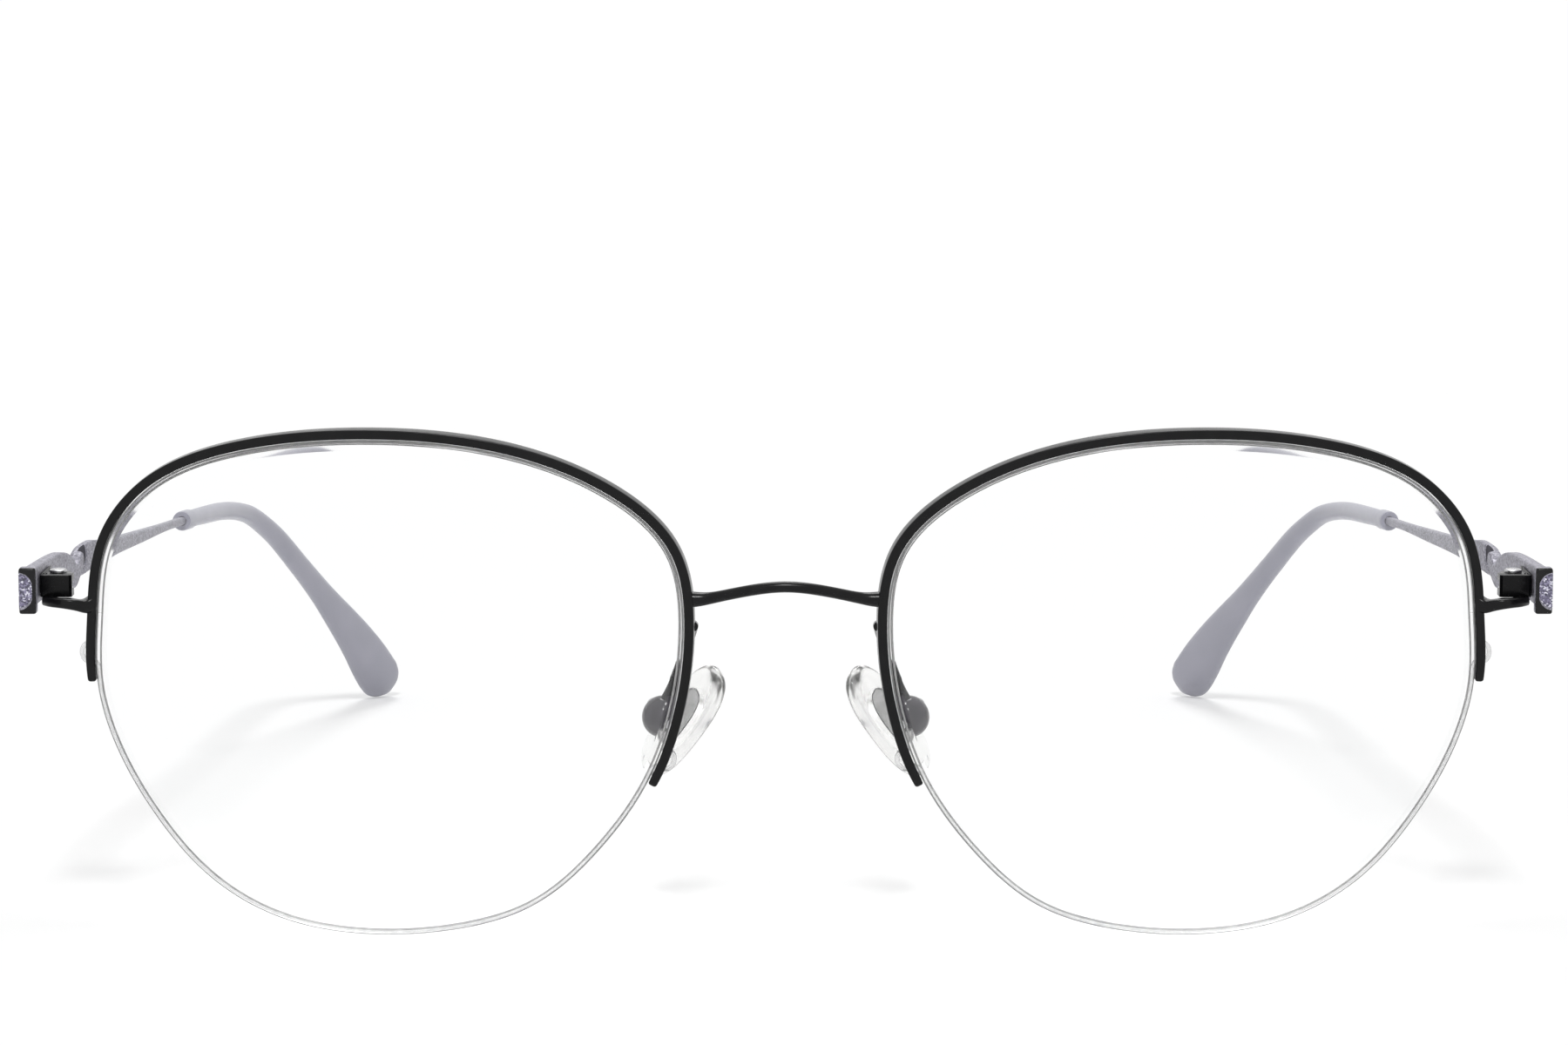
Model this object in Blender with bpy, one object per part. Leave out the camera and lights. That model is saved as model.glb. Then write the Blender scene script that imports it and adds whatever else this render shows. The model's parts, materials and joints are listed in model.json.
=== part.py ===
"""Semi-rimless eyeglasses, standing open on their lenses and temple tips.

X runs across the face, the front looks along -Y, the temples run back along +Y and Z is up.
Every piece is worked out for the +X side, and its twin on the -X side is the mirror image.
Y is measured from the lenses' foremost points until a piece is added, which then moves it
so that the origin lies under the middle of the whole object, on the surface that it stands on.
"""
import math

import bmesh
import bpy
import numpy as np
from mathutils import Matrix, Vector

for old in list(bpy.data.objects):
    bpy.data.objects.remove(old, do_unlink=True)

SIDES = {"left": -1, "right": 1}
CUT_OVERRUN = 0.0010
SOLDER_GAP = 0.00005

# Lenses: 53 x 46 mm, 18 mm apart, on a gently curved front
LENS_WIDTH = 0.0532
LENS_HEIGHT = 0.0456
LENS_SPACING = 0.0183
LENS_THICKNESS = 0.0020
LENS_CURVE_RADIUS = 0.1150
FACE_FORM = math.radians(4.5)
FRONT_TILT = math.radians(4.0)
GROOVE_DEPTH = 0.00055
GROOVE_HALF_WIDTH = 0.00031
GROOVE_FLOOR_HALF_WIDTH = 0.00028
# Outline from the rim's temple end over the top to its nose end, and back below the lens
LENS_OUTLINE_SHARES = (
    (1.0, 0.01), (0.995, 0.27), (0.95, 0.58), (0.79, 0.805), (0.475, 0.95), (0.045, 1.0), (-0.37, 0.955),
    (-0.74, 0.79), (-0.95, 0.56), (-1.0, 0.275), (-0.97, -0.05), (-0.873, -0.37), (-0.70, -0.665),
    (-0.47, -0.893), (-0.19, -0.98), (0.09, -1.0), (0.37, -0.957), (0.622, -0.815), (0.82, -0.555),
    (0.945, -0.26))
RIM_END_SHARE_INDEX = 11
RIM_STEPS = 44
BELOW_STEPS = 22
CURVE_STEPS = 16
LENS_RING_SHARES = (0.2, 0.6)

# Rim: a channel that holds the lens's upper edge
RIM_FIT = 0.00008
RIM_THICKNESS = 0.00085
RIM_DEPTH = 0.00155
RIM_ROUNDING = 0.00020
CHANNEL_DEPTH = 0.00042
CHANNEL_HALF_WIDTH = 0.00042
RIM_END_TAPER = 0.0022
RIM_END_THICKNESS = 0.00078

# Liner between the channel and the lens groove
LINER_GAP = 0.00006
LINER_STEM_HALF_WIDTH = 0.00018
LINER_STEM_REACH = 0.00045
LINER_SET_BACK = 3

# Nylon cord under the lens, threaded through two holes at each rim end
CORD_RADIUS = 0.00022
CORD_FLOOR_GAP = 0.00005
CORD_HOLE_RADIUS = 0.00031
CORD_HOLE_FROM_END = 0.0018
CORD_HOLE_SPACING = 0.0015
CORD_OUTSIDE_GAP = 0.00008
CORD_SIDES = 6

# Bridge wire
BRIDGE_HEIGHT = 0.0083
BRIDGE_RADIUS = 0.00050
BRIDGE_FOOT_RADIUS = 0.00072
BRIDGE_RISE = 0.00130
BRIDGE_BOW = 0.0012
BRIDGE_SHARES = ((0.0, 0.0, 0.0), (0.13, 0.06, 0.02), (0.38, 0.42, 0.34), (0.68, 0.83, 0.78), (1.0, 1.0, 1.0))
# Places of the wire's rings, from one foot to the middle
BRIDGE_PLACE_SHARES = (0.0, 0.05, 0.09, 0.15, 0.24, 0.33, 0.42, 0.5)
WIRE_SIDES = 8

# Hinge: its pin, barrel and leaves, placed from the lens's temple edge and middle
PIN_BESIDE_LENS = 0.0036
PIN_BEHIND_LENS = 0.0032
BARREL_ABOVE_MIDDLE = 0.00805
BARREL_RADIUS = 0.00115
BARREL_HEIGHT = 0.0020
KNUCKLE_GAP = 0.00006
PIN_RADIUS = 0.00050
PIN_CLEARANCE = 0.00005
SCREW_HEAD_RADIUS = 0.00080
SCREW_HEAD_HEIGHT = 0.00030
SCREW_SEAT_GAP = 0.00003
SLOT_WIDTH = 0.00024
SLOT_DEPTH = 0.00016
LEAF_MARGIN = 0.00028
LEAF_KNUCKLE_REACH = 0.00090
LEAF_CHEEK_REACH = 0.00143
LEAF_FRONT_REACH = 0.0020
LEAF_CORNER = 0.00025
TEMPLE_LEAF_GAP = 0.00010
TEMPLE_LEAF_LENGTH = 0.0042
TEMPLE_KNUCKLE_TURN = math.radians(60)
ARC_SIDES = 20

# Endpiece bar from the rim to the hinge
BAR_HEIGHT_ON_LENS = 0.00705
BAR_ROOT_HEIGHT = 0.00122
BAR_FILLET_HEIGHT = 0.0019
BAR_END_HEIGHT = 0.00087
BAR_ROOT_DEPTH = 0.00150
BAR_END_DEPTH = 0.00100
BAR_END_BESIDE_PIN = 0.0008
BAR_END_BELOW_BARREL = 0.0003
BAR_BEFORE_LEAF = 0.0011
BAR_STEPS = 12

# Temple: hooked front corner, waved ribbon and thin rod, placed from the hinge's pin and barrel
TEMPLE_BESIDE_PIN = 0.00268
TEMPLE_BEFORE_PIN = 0.0064
TEMPLE_ABOVE_HINGE = 0.0003
TEMPLE_RUN = 0.0952
TEMPLE_INWARD = 0.0079
TEMPLE_DROP = 0.0058
PLATE_THICKNESS = 0.00115
TAG_HEIGHT = 0.0040
CORNER_SHARE = 0.45
# Run back, move inward, drop, thickness and height, each as a share of the sizes above
RIBBON_SHARES = (
    (0.0, 0.032, 0.015, 1.06, 0.96), (0.003, 0.0, 0.015, 1.32, 1.04), (0.012, 0.0, 0.015, 1.32, 1.04),
    (0.020, 0.0, 0.01, 1.0, 0.94), (0.045, 0.0, 0.025, 1.0, 0.86), (0.112, 0.0, 0.075, 1.0, 0.83),
    (0.191, 0.03, 0.135, 1.0, 0.79), (0.210, 0.045, 0.162, 1.0, 0.745), (0.238, 0.065, 0.23, 1.0, 0.60),
    (0.267, 0.09, 0.345, 1.0, 0.345), (0.278, 0.10, 0.32, 0.97, 0.43), (0.287, 0.11, 0.28, 0.55, 0.56),
    (0.303, 0.13, 0.255, 0.50, 0.66), (0.335, 0.18, 0.25, 0.55, 0.71), (0.370, 0.237, 0.28, 0.65, 0.61),
    (0.426, 0.35, 0.31, 0.80, 0.43), (0.559, 0.525, 0.43, 0.80, 0.31), (0.695, 0.684, 0.56, 0.78, 0.21),
    (0.863, 0.861, 0.777, 0.78, 0.21), (1.0, 1.0, 1.0, 0.78, 0.21))
EAR_RUN = 0.0350
EAR_INWARD = 0.0143
EAR_END_Z = 0.0006
# Run, move inward and drop behind the ear bend, as shares of the ear's own sizes
EAR_SHARES = ((0.22, 0.10, 0.055), (0.37, 0.24, 0.16), (0.53, 0.42, 0.34), (0.69, 0.61, 0.54),
              (0.84, 0.80, 0.745), (1.0, 1.0, 1.0))
RIBBON_STEPS = 30
CORE_STEPS = 15
CORNER_PLACE_SHARES = (0.0, 0.0021, 0.0080, 0.0130, 0.019)
RIBBON_START_SHARE = 0.030
# The ribbon's thick part ends between these two rings, as shares of the run to the ear bend
SHOULDER_SHARES = (0.278, 0.287)

# Glitter inlay round the temple's front corner
INLAY_THICKNESS = 0.00025
INLAY_RECESS = 0.00003
INLAY_GAP = 0.00004
INLAY_HALF_HEIGHT = 0.0016
INLAY_BORDER = 0.00028
INLAY_LENGTH = 0.0120
INLAY_STEPS = 12
INLAY_FACE_SHARES = (0.45, 0.97, 1.0)
INLAY_END_SHARE = 0.12
INLAY_DROP_SHARE = 0.10
INLAY_FULLNESS = 1.5

# Temple tip: a bored sleeve that widens into a paddle
TIP_BEFORE_BEND = 0.0236
TIP_HALF_WIDTH = 0.00255
TIP_HALF_THICKNESS = 0.0011
TIP_TWIST = math.radians(35)
TIP_BORE_RADIUS = 0.00062
TIP_BORE_SHARE = 0.80
TIP_CORE_SHARE = 0.78
TIP_SIDES = 10
# Place along the tip, half width and half thickness as shares of the paddle's
TIP_SHARES = (
    (0.0, 0.37, 0.86), (0.006, 0.40, 0.92), (0.046, 0.40, 0.92), (0.049, 0.34, 0.84), (0.16, 0.36, 0.86),
    (0.28, 0.37, 0.87), (0.40, 0.38, 0.88), (0.50, 0.42, 0.94), (0.58, 0.45, 0.96), (0.66, 0.48, 0.95),
    (0.73, 0.55, 0.95), (0.80, 0.70, 0.98), (0.87, 0.86, 1.0), (0.925, 0.97, 1.0), (0.955, 0.99, 0.97),
    (0.975, 0.90, 0.86), (0.99, 0.66, 0.64), (1.0, 0.26, 0.28))

# Nose pads, their housings and arms
PAD_SPACING = 0.0188
PAD_BEHIND_LENS = 0.0098
PAD_BELOW_MIDDLE = 0.0040
PAD_LENGTH = 0.0122
PAD_WIDTH = 0.0056
PAD_BLUNTNESS = 2.6
PAD_THICKNESS = 0.0020
PAD_SPLAY = math.radians(40)
PAD_DIP = math.radians(19)
PAD_LEAN = math.radians(53)
PAD_SIDES = 20
PAD_POCKET_SHARE = 0.58
# Size of the pad's outline and height above its middle, as shares, from the pocket's mouth
PAD_PROFILE_SHARES = ((0.80, -0.42), (0.96, -0.22), (1.0, 0.0), (0.94, 0.26), (0.74, 0.45), (0.40, 0.56))
PAD_POCKET_FLOOR_SHARE = 0.06
CORE_GAP = 0.00008
CORE_STUB_RADIUS = 0.00070
CORE_STUB_LENGTH = 0.00260
CUP_RADIUS = 0.0019
CUP_RIM_DEPTH = 0.00215
CUP_FLOOR_DEPTH = 0.00375
CUP_BACK_DEPTH = 0.00435
CUP_BORE_RADIUS = 0.0013
CUP_ROUNDING_SHARES = ((0.62, 0.0), (0.90, 0.10), (1.0, 0.32), (1.0, 1.0))
PAD_AXIS_DEPTH = 0.00285
PAD_SCREW_RADIUS = 0.00035
PAD_SCREW_PROUD = 0.00015
PAD_SCREW_CLEARANCE = 0.00006
CUP_SIDES = 16
ARM_HEIGHT = 0.0057
ARM_BESIDE_LENS = 0.0007
ARM_RADIUS = 0.00048
ARM_END_RADIUS = 0.00062
# Way aside, down and back from rim to cup, as shares
ARM_SHARES = ((0.0, 0.0, 0.0), (0.0, 0.02, 0.30), (0.06, 0.12, 0.62), (0.27, 0.37, 0.88), (0.63, 0.757, 1.0),
              (1.0, 1.0, 1.0))
ARM_STEPS = 16

MATERIALS = {
    "rim_black": ((0.018, 0.018, 0.020, 1.0), 0.85, 0.28),
    "hinge_black": ((0.016, 0.016, 0.018, 1.0), 0.85, 0.32),
    "screw_steel": ((0.45, 0.45, 0.46, 1.0), 1.0, 0.30),
    "temple_lavender": ((0.38, 0.36, 0.45, 1.0), 0.45, 0.38),
    "glitter": ((0.36, 0.30, 0.55, 1.0), 0.30, 0.25),
    "tip_lavender": ((0.36, 0.35, 0.43, 1.0), 0.0, 0.35),
    "lens_clear": ((0.97, 0.98, 0.98, 0.20), 0.0, 0.03),
    "nylon_clear": ((0.90, 0.90, 0.90, 0.60), 0.0, 0.25),
    "pad_clear": ((0.93, 0.93, 0.91, 0.55), 0.0, 0.20),
    "pad_core_clear": ((0.85, 0.85, 0.84, 0.80), 0.0, 0.20),
}


def material(name):
    """The piece's own surface, made once."""
    found = bpy.data.materials.get(name)
    if found:
        return found
    color, metallic, roughness = MATERIALS[name]
    made = bpy.data.materials.new(name)
    made.use_nodes = True
    shader = made.node_tree.nodes["Principled BSDF"]
    shader.inputs["Base Color"].default_value = color
    shader.inputs["Metallic"].default_value = metallic
    shader.inputs["Roughness"].default_value = roughness
    shader.inputs["Alpha"].default_value = color[3]
    return made


def smooth_tangents(knots, step, slope, closed):
    """Tangents that turn a line through the knots into one whose bends change evenly."""
    count = len(knots)
    system = np.zeros((count, count))
    wanted = np.zeros_like(knots)
    for i in range(count):
        if not closed and i in (0, count - 1):
            neighbour = 1 if i == 0 else count - 2
            system[i, i] = 2
            system[i, neighbour] = 1
            wanted[i] = 3 * slope[min(i, count - 2)]
            continue
        before = step[i - 1]
        after = step[i]
        system[i, i - 1] += after
        system[i, i] += 2 * (before + after)
        system[i, (i + 1) % count] += before
        wanted[i] = 3 * (after * slope[i - 1] + before * slope[i])
    return np.linalg.solve(system, wanted)


def steady_tangents(knots, slope):
    """Tangents of a line that never swings past its knots in any column."""
    tangents = np.zeros_like(knots)
    tangents[0], tangents[-1] = slope[0], slope[-1]
    for i in range(1, len(knots) - 1):
        before, after = slope[i - 1], slope[i]
        same_way = before * after > 0
        total = np.where(same_way, before + after, 1)
        tangents[i] = np.where(same_way, 2 * before * after / total, 0)
    return tangents


def spline(points, space, closed=False, steady=False):
    """A fine line through points in space, whose further columns never swing past their values."""
    knots = np.array(points, dtype=float)
    count = len(knots)
    spans = count if closed else count - 1
    step = [np.linalg.norm(knots[(i + 1) % count, :space] - knots[i, :space]) for i in range(spans)]
    slope = [(knots[(i + 1) % count] - knots[i]) / step[i] for i in range(spans)]
    if steady:
        tangents = steady_tangents(knots, slope)
    else:
        tangents = smooth_tangents(knots, step, slope, closed)
        if len(knots[0]) > space:
            tangents[:, space:] = steady_tangents(knots, slope)[:, space:]
    line = []
    for i in range(spans):
        start, end = knots[i], knots[(i + 1) % count]
        leave, arrive = tangents[i] * step[i], tangents[(i + 1) % count] * step[i]
        for j in range(CURVE_STEPS):
            t = j / CURVE_STEPS
            a = 2 * t ** 3 - 3 * t ** 2 + 1
            b = t ** 3 - 2 * t ** 2 + t
            c = 3 * t ** 2 - 2 * t ** 3
            d = t ** 3 - t ** 2
            line.append(a * start + b * leave + c * end + d * arrive)
    if not closed:
        line.append(knots[-1])
    return np.array(line)


def lengths_along(line, space):
    """How far along the line each of its points lies."""
    steps = np.linalg.norm(np.diff(line[:, :space], axis=0), axis=1)
    return np.concatenate(([0.0], np.cumsum(steps)))


def at_shares(line, space, shares):
    """Points of the line at shares of its length."""
    reach = lengths_along(line, space)
    places = np.array(shares) * reach[-1]
    return np.stack([np.interp(places, reach, column) for column in line.T], axis=1)


def solid(name, rings, looks, side=1, closed=False, parent=None, cutter=False):
    """One closed body skinned over rings of points, capped unless the rings close on themselves."""
    pivot = parent.location if parent else Vector((0, 0, 0))
    form = bmesh.new()
    loops = []
    for ring in rings:
        loops.append([form.verts.new(Vector((side * p[0], p[1] - MIDDLE_Y, p[2])) - pivot) for p in ring])
    count = len(loops[0])
    pairs = list(zip(loops, loops[1:]))
    if closed:
        pairs.append((loops[-1], loops[0]))
    for first, second in pairs:
        for i in range(count):
            j = (i + 1) % count
            form.faces.new((first[i], first[j], second[j], second[i]))
    if not closed:
        form.faces.new(loops[0])
        form.faces.new(loops[-1])
    bmesh.ops.recalc_face_normals(form, faces=form.faces)
    mesh = bpy.data.meshes.new(name)
    form.to_mesh(mesh)
    form.free()
    mesh.shade_smooth()
    mesh.set_sharp_from_angle(angle=math.radians(35))
    thing = bpy.data.objects.new(name, mesh)
    bpy.context.collection.objects.link(thing)
    if parent:
        thing.parent = parent
    if cutter:
        thing.hide_render = True
        thing.display_type = "WIRE"
    else:
        mesh.materials.append(material(looks))
    return thing


def cut(thing, cutter):
    """Take the cutter's shape out of the piece."""
    change = thing.modifiers.new(cutter.name, "BOOLEAN")
    change.operation = "DIFFERENCE"
    change.solver = "EXACT"
    change.object = cutter


def circle(centre, first, second, radius, sides, other_radius=None):
    """A ring of points round a centre, in the plane of two unit directions."""
    far = radius if other_radius is None else other_radius
    ring = []
    for i in range(sides):
        turn = math.tau * (i + 0.5) / sides
        ring.append(centre + first * (radius * math.cos(turn)) + second * (far * math.sin(turn)))
    return ring


def across(direction):
    """Two unit directions square to the given one: level, and the steepest."""
    level = direction.cross(Vector((0, 0, 1))).normalized()
    return level, level.cross(direction).normalized()


def rod(start, end, radius, sides):
    """Rings of a straight round bar."""
    level, steep = across((end - start).normalized())
    return [circle(start, level, steep, radius, sides), circle(end, level, steep, radius, sides)]


def upright(x, y, radius, low, high, sides):
    """Rings of a round bar that stands upright."""
    first, second = Vector((1, 0, 0)), Vector((0, 1, 0))
    return [circle(Vector((x, y, z)), first, second, radius, sides) for z in (low, high)]


def box(low, high):
    """Rings of a block between two corners."""
    plan = ((low[0], low[1]), (high[0], low[1]), (high[0], high[1]), (low[0], high[1]))
    return [[Vector((x, y, z)) for x, y in plan] for z in (low[2], high[2])]


def tube(line, radii, sides):
    """Rings of a bent wire, one at each point of the line."""
    rings = []
    points = [Vector(p) for p in line]
    for i, point in enumerate(points):
        ahead = points[min(i + 1, len(points) - 1)]
        behind = points[max(i - 1, 0)]
        level, steep = across((ahead - behind).normalized())
        rings.append(circle(point, level, steep, radii[i], sides))
    return rings


def fitted_outline():
    """The lens outline as a fine line, stretched to fill its box exactly."""
    line = spline(LENS_OUTLINE_SHARES, 2, closed=True)
    low, high = line.min(axis=0), line.max(axis=0)
    return (line - (low + high) / 2) / (high - low) * (LENS_WIDTH, LENS_HEIGHT)


OUTLINE = fitted_outline()
SPLIT = RIM_END_SHARE_INDEX * CURVE_STEPS
OVER_LINE = OUTLINE[:SPLIT + 1]
UNDER_LINE = np.concatenate((OUTLINE[SPLIT:], OUTLINE[:1]))
OVER = at_shares(OVER_LINE, 2, [i / RIM_STEPS for i in range(RIM_STEPS + 1)])
UNDER = at_shares(UNDER_LINE, 2, [i / BELOW_STEPS for i in range(BELOW_STEPS + 1)])
EDGE = np.concatenate((OVER, UNDER[1:-1]))


def outward(line, index, closed):
    """The line's outward unit direction at one of its points, in the lens's own plane."""
    last = len(line) - 1
    ahead = line[(index + 1) % len(line)] if closed else line[min(index + 1, last)]
    behind = line[index - 1] if closed else line[max(index - 1, 0)]
    run = ahead - behind
    return np.array((run[1], -run[0])) / np.linalg.norm(run)


EDGE_OUTWARD = np.array([outward(EDGE, i, True) for i in range(len(EDGE))])


def sag(u, v):
    """How far the lens's curved surface falls behind its foremost point."""
    return LENS_CURVE_RADIUS - math.sqrt(LENS_CURVE_RADIUS ** 2 - u * u - v * v)


LENS_TURN = Matrix.Rotation(FACE_FORM, 3, "Z") @ Matrix.Rotation(FRONT_TILT, 3, "X")
LENS_CENTRE = Vector((0, 0, 0))


def on_lens(u, v, depth):
    """A place in the lens's own plane, at a depth behind its curved front surface."""
    return LENS_CENTRE + LENS_TURN @ Vector((u, sag(u, v) + depth, v))


def off_edge(point, direction, out, depth):
    """A place outside the lens's edge by out, and behind its middle by depth."""
    u, v = point
    back = sag(u, v) + LENS_THICKNESS / 2 + depth
    return LENS_CENTRE + LENS_TURN @ Vector((u + out * direction[0], back, v + out * direction[1]))


# The front edge round the lens's middle, before the middle has its place
FRONT_EDGE = [off_edge(p, n, 0, -LENS_THICKNESS / 2) for p, n in zip(EDGE, EDGE_OUTWARD)]
LENS_CENTRE.x = LENS_SPACING / 2 - min(place.x for place in FRONT_EDGE)
LENS_CENTRE.z = -min(place.z for place in FRONT_EDGE)


def edge_at_height(height, nasal, out, depth):
    """A place on the rim's line at a height above the lens's middle, on its nose or temple side."""
    half = [p for p in OVER_LINE if (p[0] < 0) == nasal]
    index = min(range(1, len(half) - 1), key=lambda i: abs(half[i][1] - height))
    return off_edge(half[index], outward(half, index, False), out, depth)


TEMPLE_EDGE = LENS_CENTRE + max(FRONT_EDGE, key=lambda place: place.x)
NOSE_EDGE = LENS_CENTRE + min(FRONT_EDGE, key=lambda place: place.x)
PIN_X = TEMPLE_EDGE.x + PIN_BESIDE_LENS
PIN_Y = TEMPLE_EDGE.y + PIN_BEHIND_LENS
BARREL_BOTTOM = LENS_CENTRE.z + BARREL_ABOVE_MIDDLE
BARREL_TOP = BARREL_BOTTOM + BARREL_HEIGHT
LEAF_INNER_X = PIN_X - BARREL_RADIUS - LEAF_MARGIN
LEAF_FRONT_Y = PIN_Y - LEAF_FRONT_REACH
TEMPLE_OUTER_X = PIN_X + TEMPLE_BESIDE_PIN
TEMPLE_FRONT_Y = PIN_Y - TEMPLE_BEFORE_PIN
TEMPLE_FRONT_Z = (BARREL_BOTTOM + BARREL_TOP) / 2 + TEMPLE_ABOVE_HINGE
BEND_OUTER_X = TEMPLE_OUTER_X - TEMPLE_INWARD
BEND_Y = TEMPLE_FRONT_Y + TEMPLE_RUN
BEND_Z = TEMPLE_FRONT_Z - TEMPLE_DROP
MIDDLE_Y = (BEND_Y + EAR_RUN - BRIDGE_BOW / 2) / 2


def axis_empty(name, x, y, z):
    """An empty on the line that a moving piece turns about."""
    mark = bpy.data.objects.new(name, None)
    mark.location = (x, y - MIDDLE_Y, z)
    bpy.context.collection.objects.link(mark)
    return mark


def section_rings(indices, section):
    """Rings of one cross-section carried along the lens's edge."""
    return [[off_edge(EDGE[i], EDGE_OUTWARD[i], out, depth) for out, depth in section(i)] for i in indices]


def lens(name, side):
    """A curved lens with a groove all round its edge."""
    half = LENS_THICKNESS / 2
    floor = -GROOVE_DEPTH
    section = ((0, -half), (0, -GROOVE_HALF_WIDTH), (floor, -GROOVE_FLOOR_HALF_WIDTH),
               (floor, GROOVE_FLOOR_HALF_WIDTH), (0, GROOVE_HALF_WIDTH), (0, half))
    rings = []
    for share in LENS_RING_SHARES:
        rings.append([on_lens(u * share, v * share, 0) for u, v in EDGE])
    for out, depth in section:
        rings.append([off_edge(p, n, out, depth) for p, n in zip(EDGE, EDGE_OUTWARD)])
    for share in LENS_RING_SHARES[::-1]:
        rings.append([on_lens(u * share, v * share, LENS_THICKNESS) for u, v in EDGE])
    return solid(name, rings, "lens_clear", side)


OVER_REACH = lengths_along(OVER, 2)


def rim_section(i):
    """The channel's cross-section, thinner towards the rim's two ends."""
    from_end = min(OVER_REACH[i], OVER_REACH[-1] - OVER_REACH[i])
    share = min(1, from_end / RIM_END_TAPER)
    outer = RIM_FIT + RIM_END_THICKNESS + (RIM_THICKNESS - RIM_END_THICKNESS) * share
    half = RIM_DEPTH / 2
    floor = RIM_FIT + CHANNEL_DEPTH
    wide = CHANNEL_HALF_WIDTH
    return ((RIM_FIT, -half), (outer - RIM_ROUNDING, -half), (outer, RIM_ROUNDING - half),
            (outer, half - RIM_ROUNDING), (outer - RIM_ROUNDING, half), (RIM_FIT, half),
            (RIM_FIT, wide), (floor, wide), (floor, -wide), (RIM_FIT, -wide))


def cord_hole_places():
    """Where the cord passes through the rim: two places near each end, as lengths along it."""
    near, far = CORD_HOLE_FROM_END, CORD_HOLE_FROM_END + CORD_HOLE_SPACING
    return (near, far), (OVER_REACH[-1] - near, OVER_REACH[-1] - far)


def over_place(reach, out, depth=0):
    """A place off the lens's edge at a length along the rim, which runs straight between its steps."""
    index = min(max(int(np.searchsorted(OVER_REACH, reach)) - 1, 0), RIM_STEPS - 1)
    share = (reach - OVER_REACH[index]) / (OVER_REACH[index + 1] - OVER_REACH[index])
    start = off_edge(EDGE[index], EDGE_OUTWARD[index], out, depth)
    end = off_edge(EDGE[index + 1], EDGE_OUTWARD[index + 1], out, depth)
    return start.lerp(end, share)


def rim(name, side):
    """The channel-shaped eyewire, with the cord's four holes."""
    made = solid(name, section_rings(range(RIM_STEPS + 1), rim_section), "rim_black", side)
    for end, places in zip(("temple", "nose"), cord_hole_places()):
        for number, reach in enumerate(places):
            ends = over_place(reach, RIM_FIT), over_place(reach, RIM_THICKNESS + CUT_OVERRUN)
            drill = solid(f"{name}_{end}_drill_{number}", rod(*ends, CORD_HOLE_RADIUS, WIRE_SIDES),
                          None, side, cutter=True)
            cut(made, drill)
    return made


def rim_blank(name, side):
    """The rim's outer form with a solder gap, which cuts what is soldered to it."""
    def section(i):
        outer = RIM_FIT + RIM_THICKNESS + SOLDER_GAP
        half = RIM_DEPTH / 2 + SOLDER_GAP
        shy = RIM_ROUNDING
        return ((-RIM_FIT, -half), (outer - shy, -half), (outer, shy - half),
                (outer, half - shy), (outer - shy, half), (-RIM_FIT, half))
    return solid(name, section_rings(range(RIM_STEPS + 1), section), None, side, cutter=True)


def liner(name, side):
    """The nylon liner: a head in the rim's channel and a stem in the lens's groove."""
    head_top = RIM_FIT + CHANNEL_DEPTH - LINER_GAP
    head_low = RIM_FIT + LINER_GAP
    head = CHANNEL_HALF_WIDTH - LINER_GAP
    stem = LINER_STEM_HALF_WIDTH
    section = ((-LINER_STEM_REACH, -stem), (head_low, -stem), (head_low, -head), (head_top, -head),
               (head_top, head), (head_low, head), (head_low, stem), (-LINER_STEM_REACH, stem))
    indices = range(LINER_SET_BACK, RIM_STEPS + 1 - LINER_SET_BACK)
    return solid(name, section_rings(indices, lambda i: section), "nylon_clear", side)


def lens_cord(name, side):
    """The cord: in the groove under the lens, then out and back through both rim ends."""
    in_groove = CORD_RADIUS + CORD_FLOOR_GAP - GROOVE_DEPTH
    outside = RIM_FIT + RIM_THICKNESS + CORD_RADIUS + CORD_OUTSIDE_GAP
    turn = CORD_RADIUS

    def loop(places):
        near, far = places
        way = 1 if far > near else -1
        inside = RIM_FIT + CHANNEL_DEPTH / 2
        return [over_place(near - way * 3 * turn, in_groove), over_place(near - way * turn, in_groove + turn),
                over_place(near, inside), over_place(near, outside - turn),
                over_place(near + way * turn, outside), over_place(far - way * turn, outside),
                over_place(far, outside - turn), over_place(far, inside)]

    temple_end, nose_end = cord_hole_places()
    below = [off_edge(EDGE[i % len(EDGE)], EDGE_OUTWARD[i % len(EDGE)], in_groove, 0)
             for i in range(RIM_STEPS, len(EDGE) + 1)]
    line = loop(nose_end)[::-1] + below + loop(temple_end)
    across_cord = (LENS_TURN @ Vector((0, 1, 0))).normalized()
    rings = []
    for i, point in enumerate(line):
        ahead = line[min(i + 1, len(line) - 1)]
        behind = line[max(i - 1, 0)]
        run = (ahead - behind).normalized()
        out = across_cord.cross(run).normalized()
        rings.append(circle(point, out, run.cross(out).normalized(), CORD_RADIUS, CORD_SIDES))
    return solid(name, rings, "nylon_clear", side)


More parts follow.
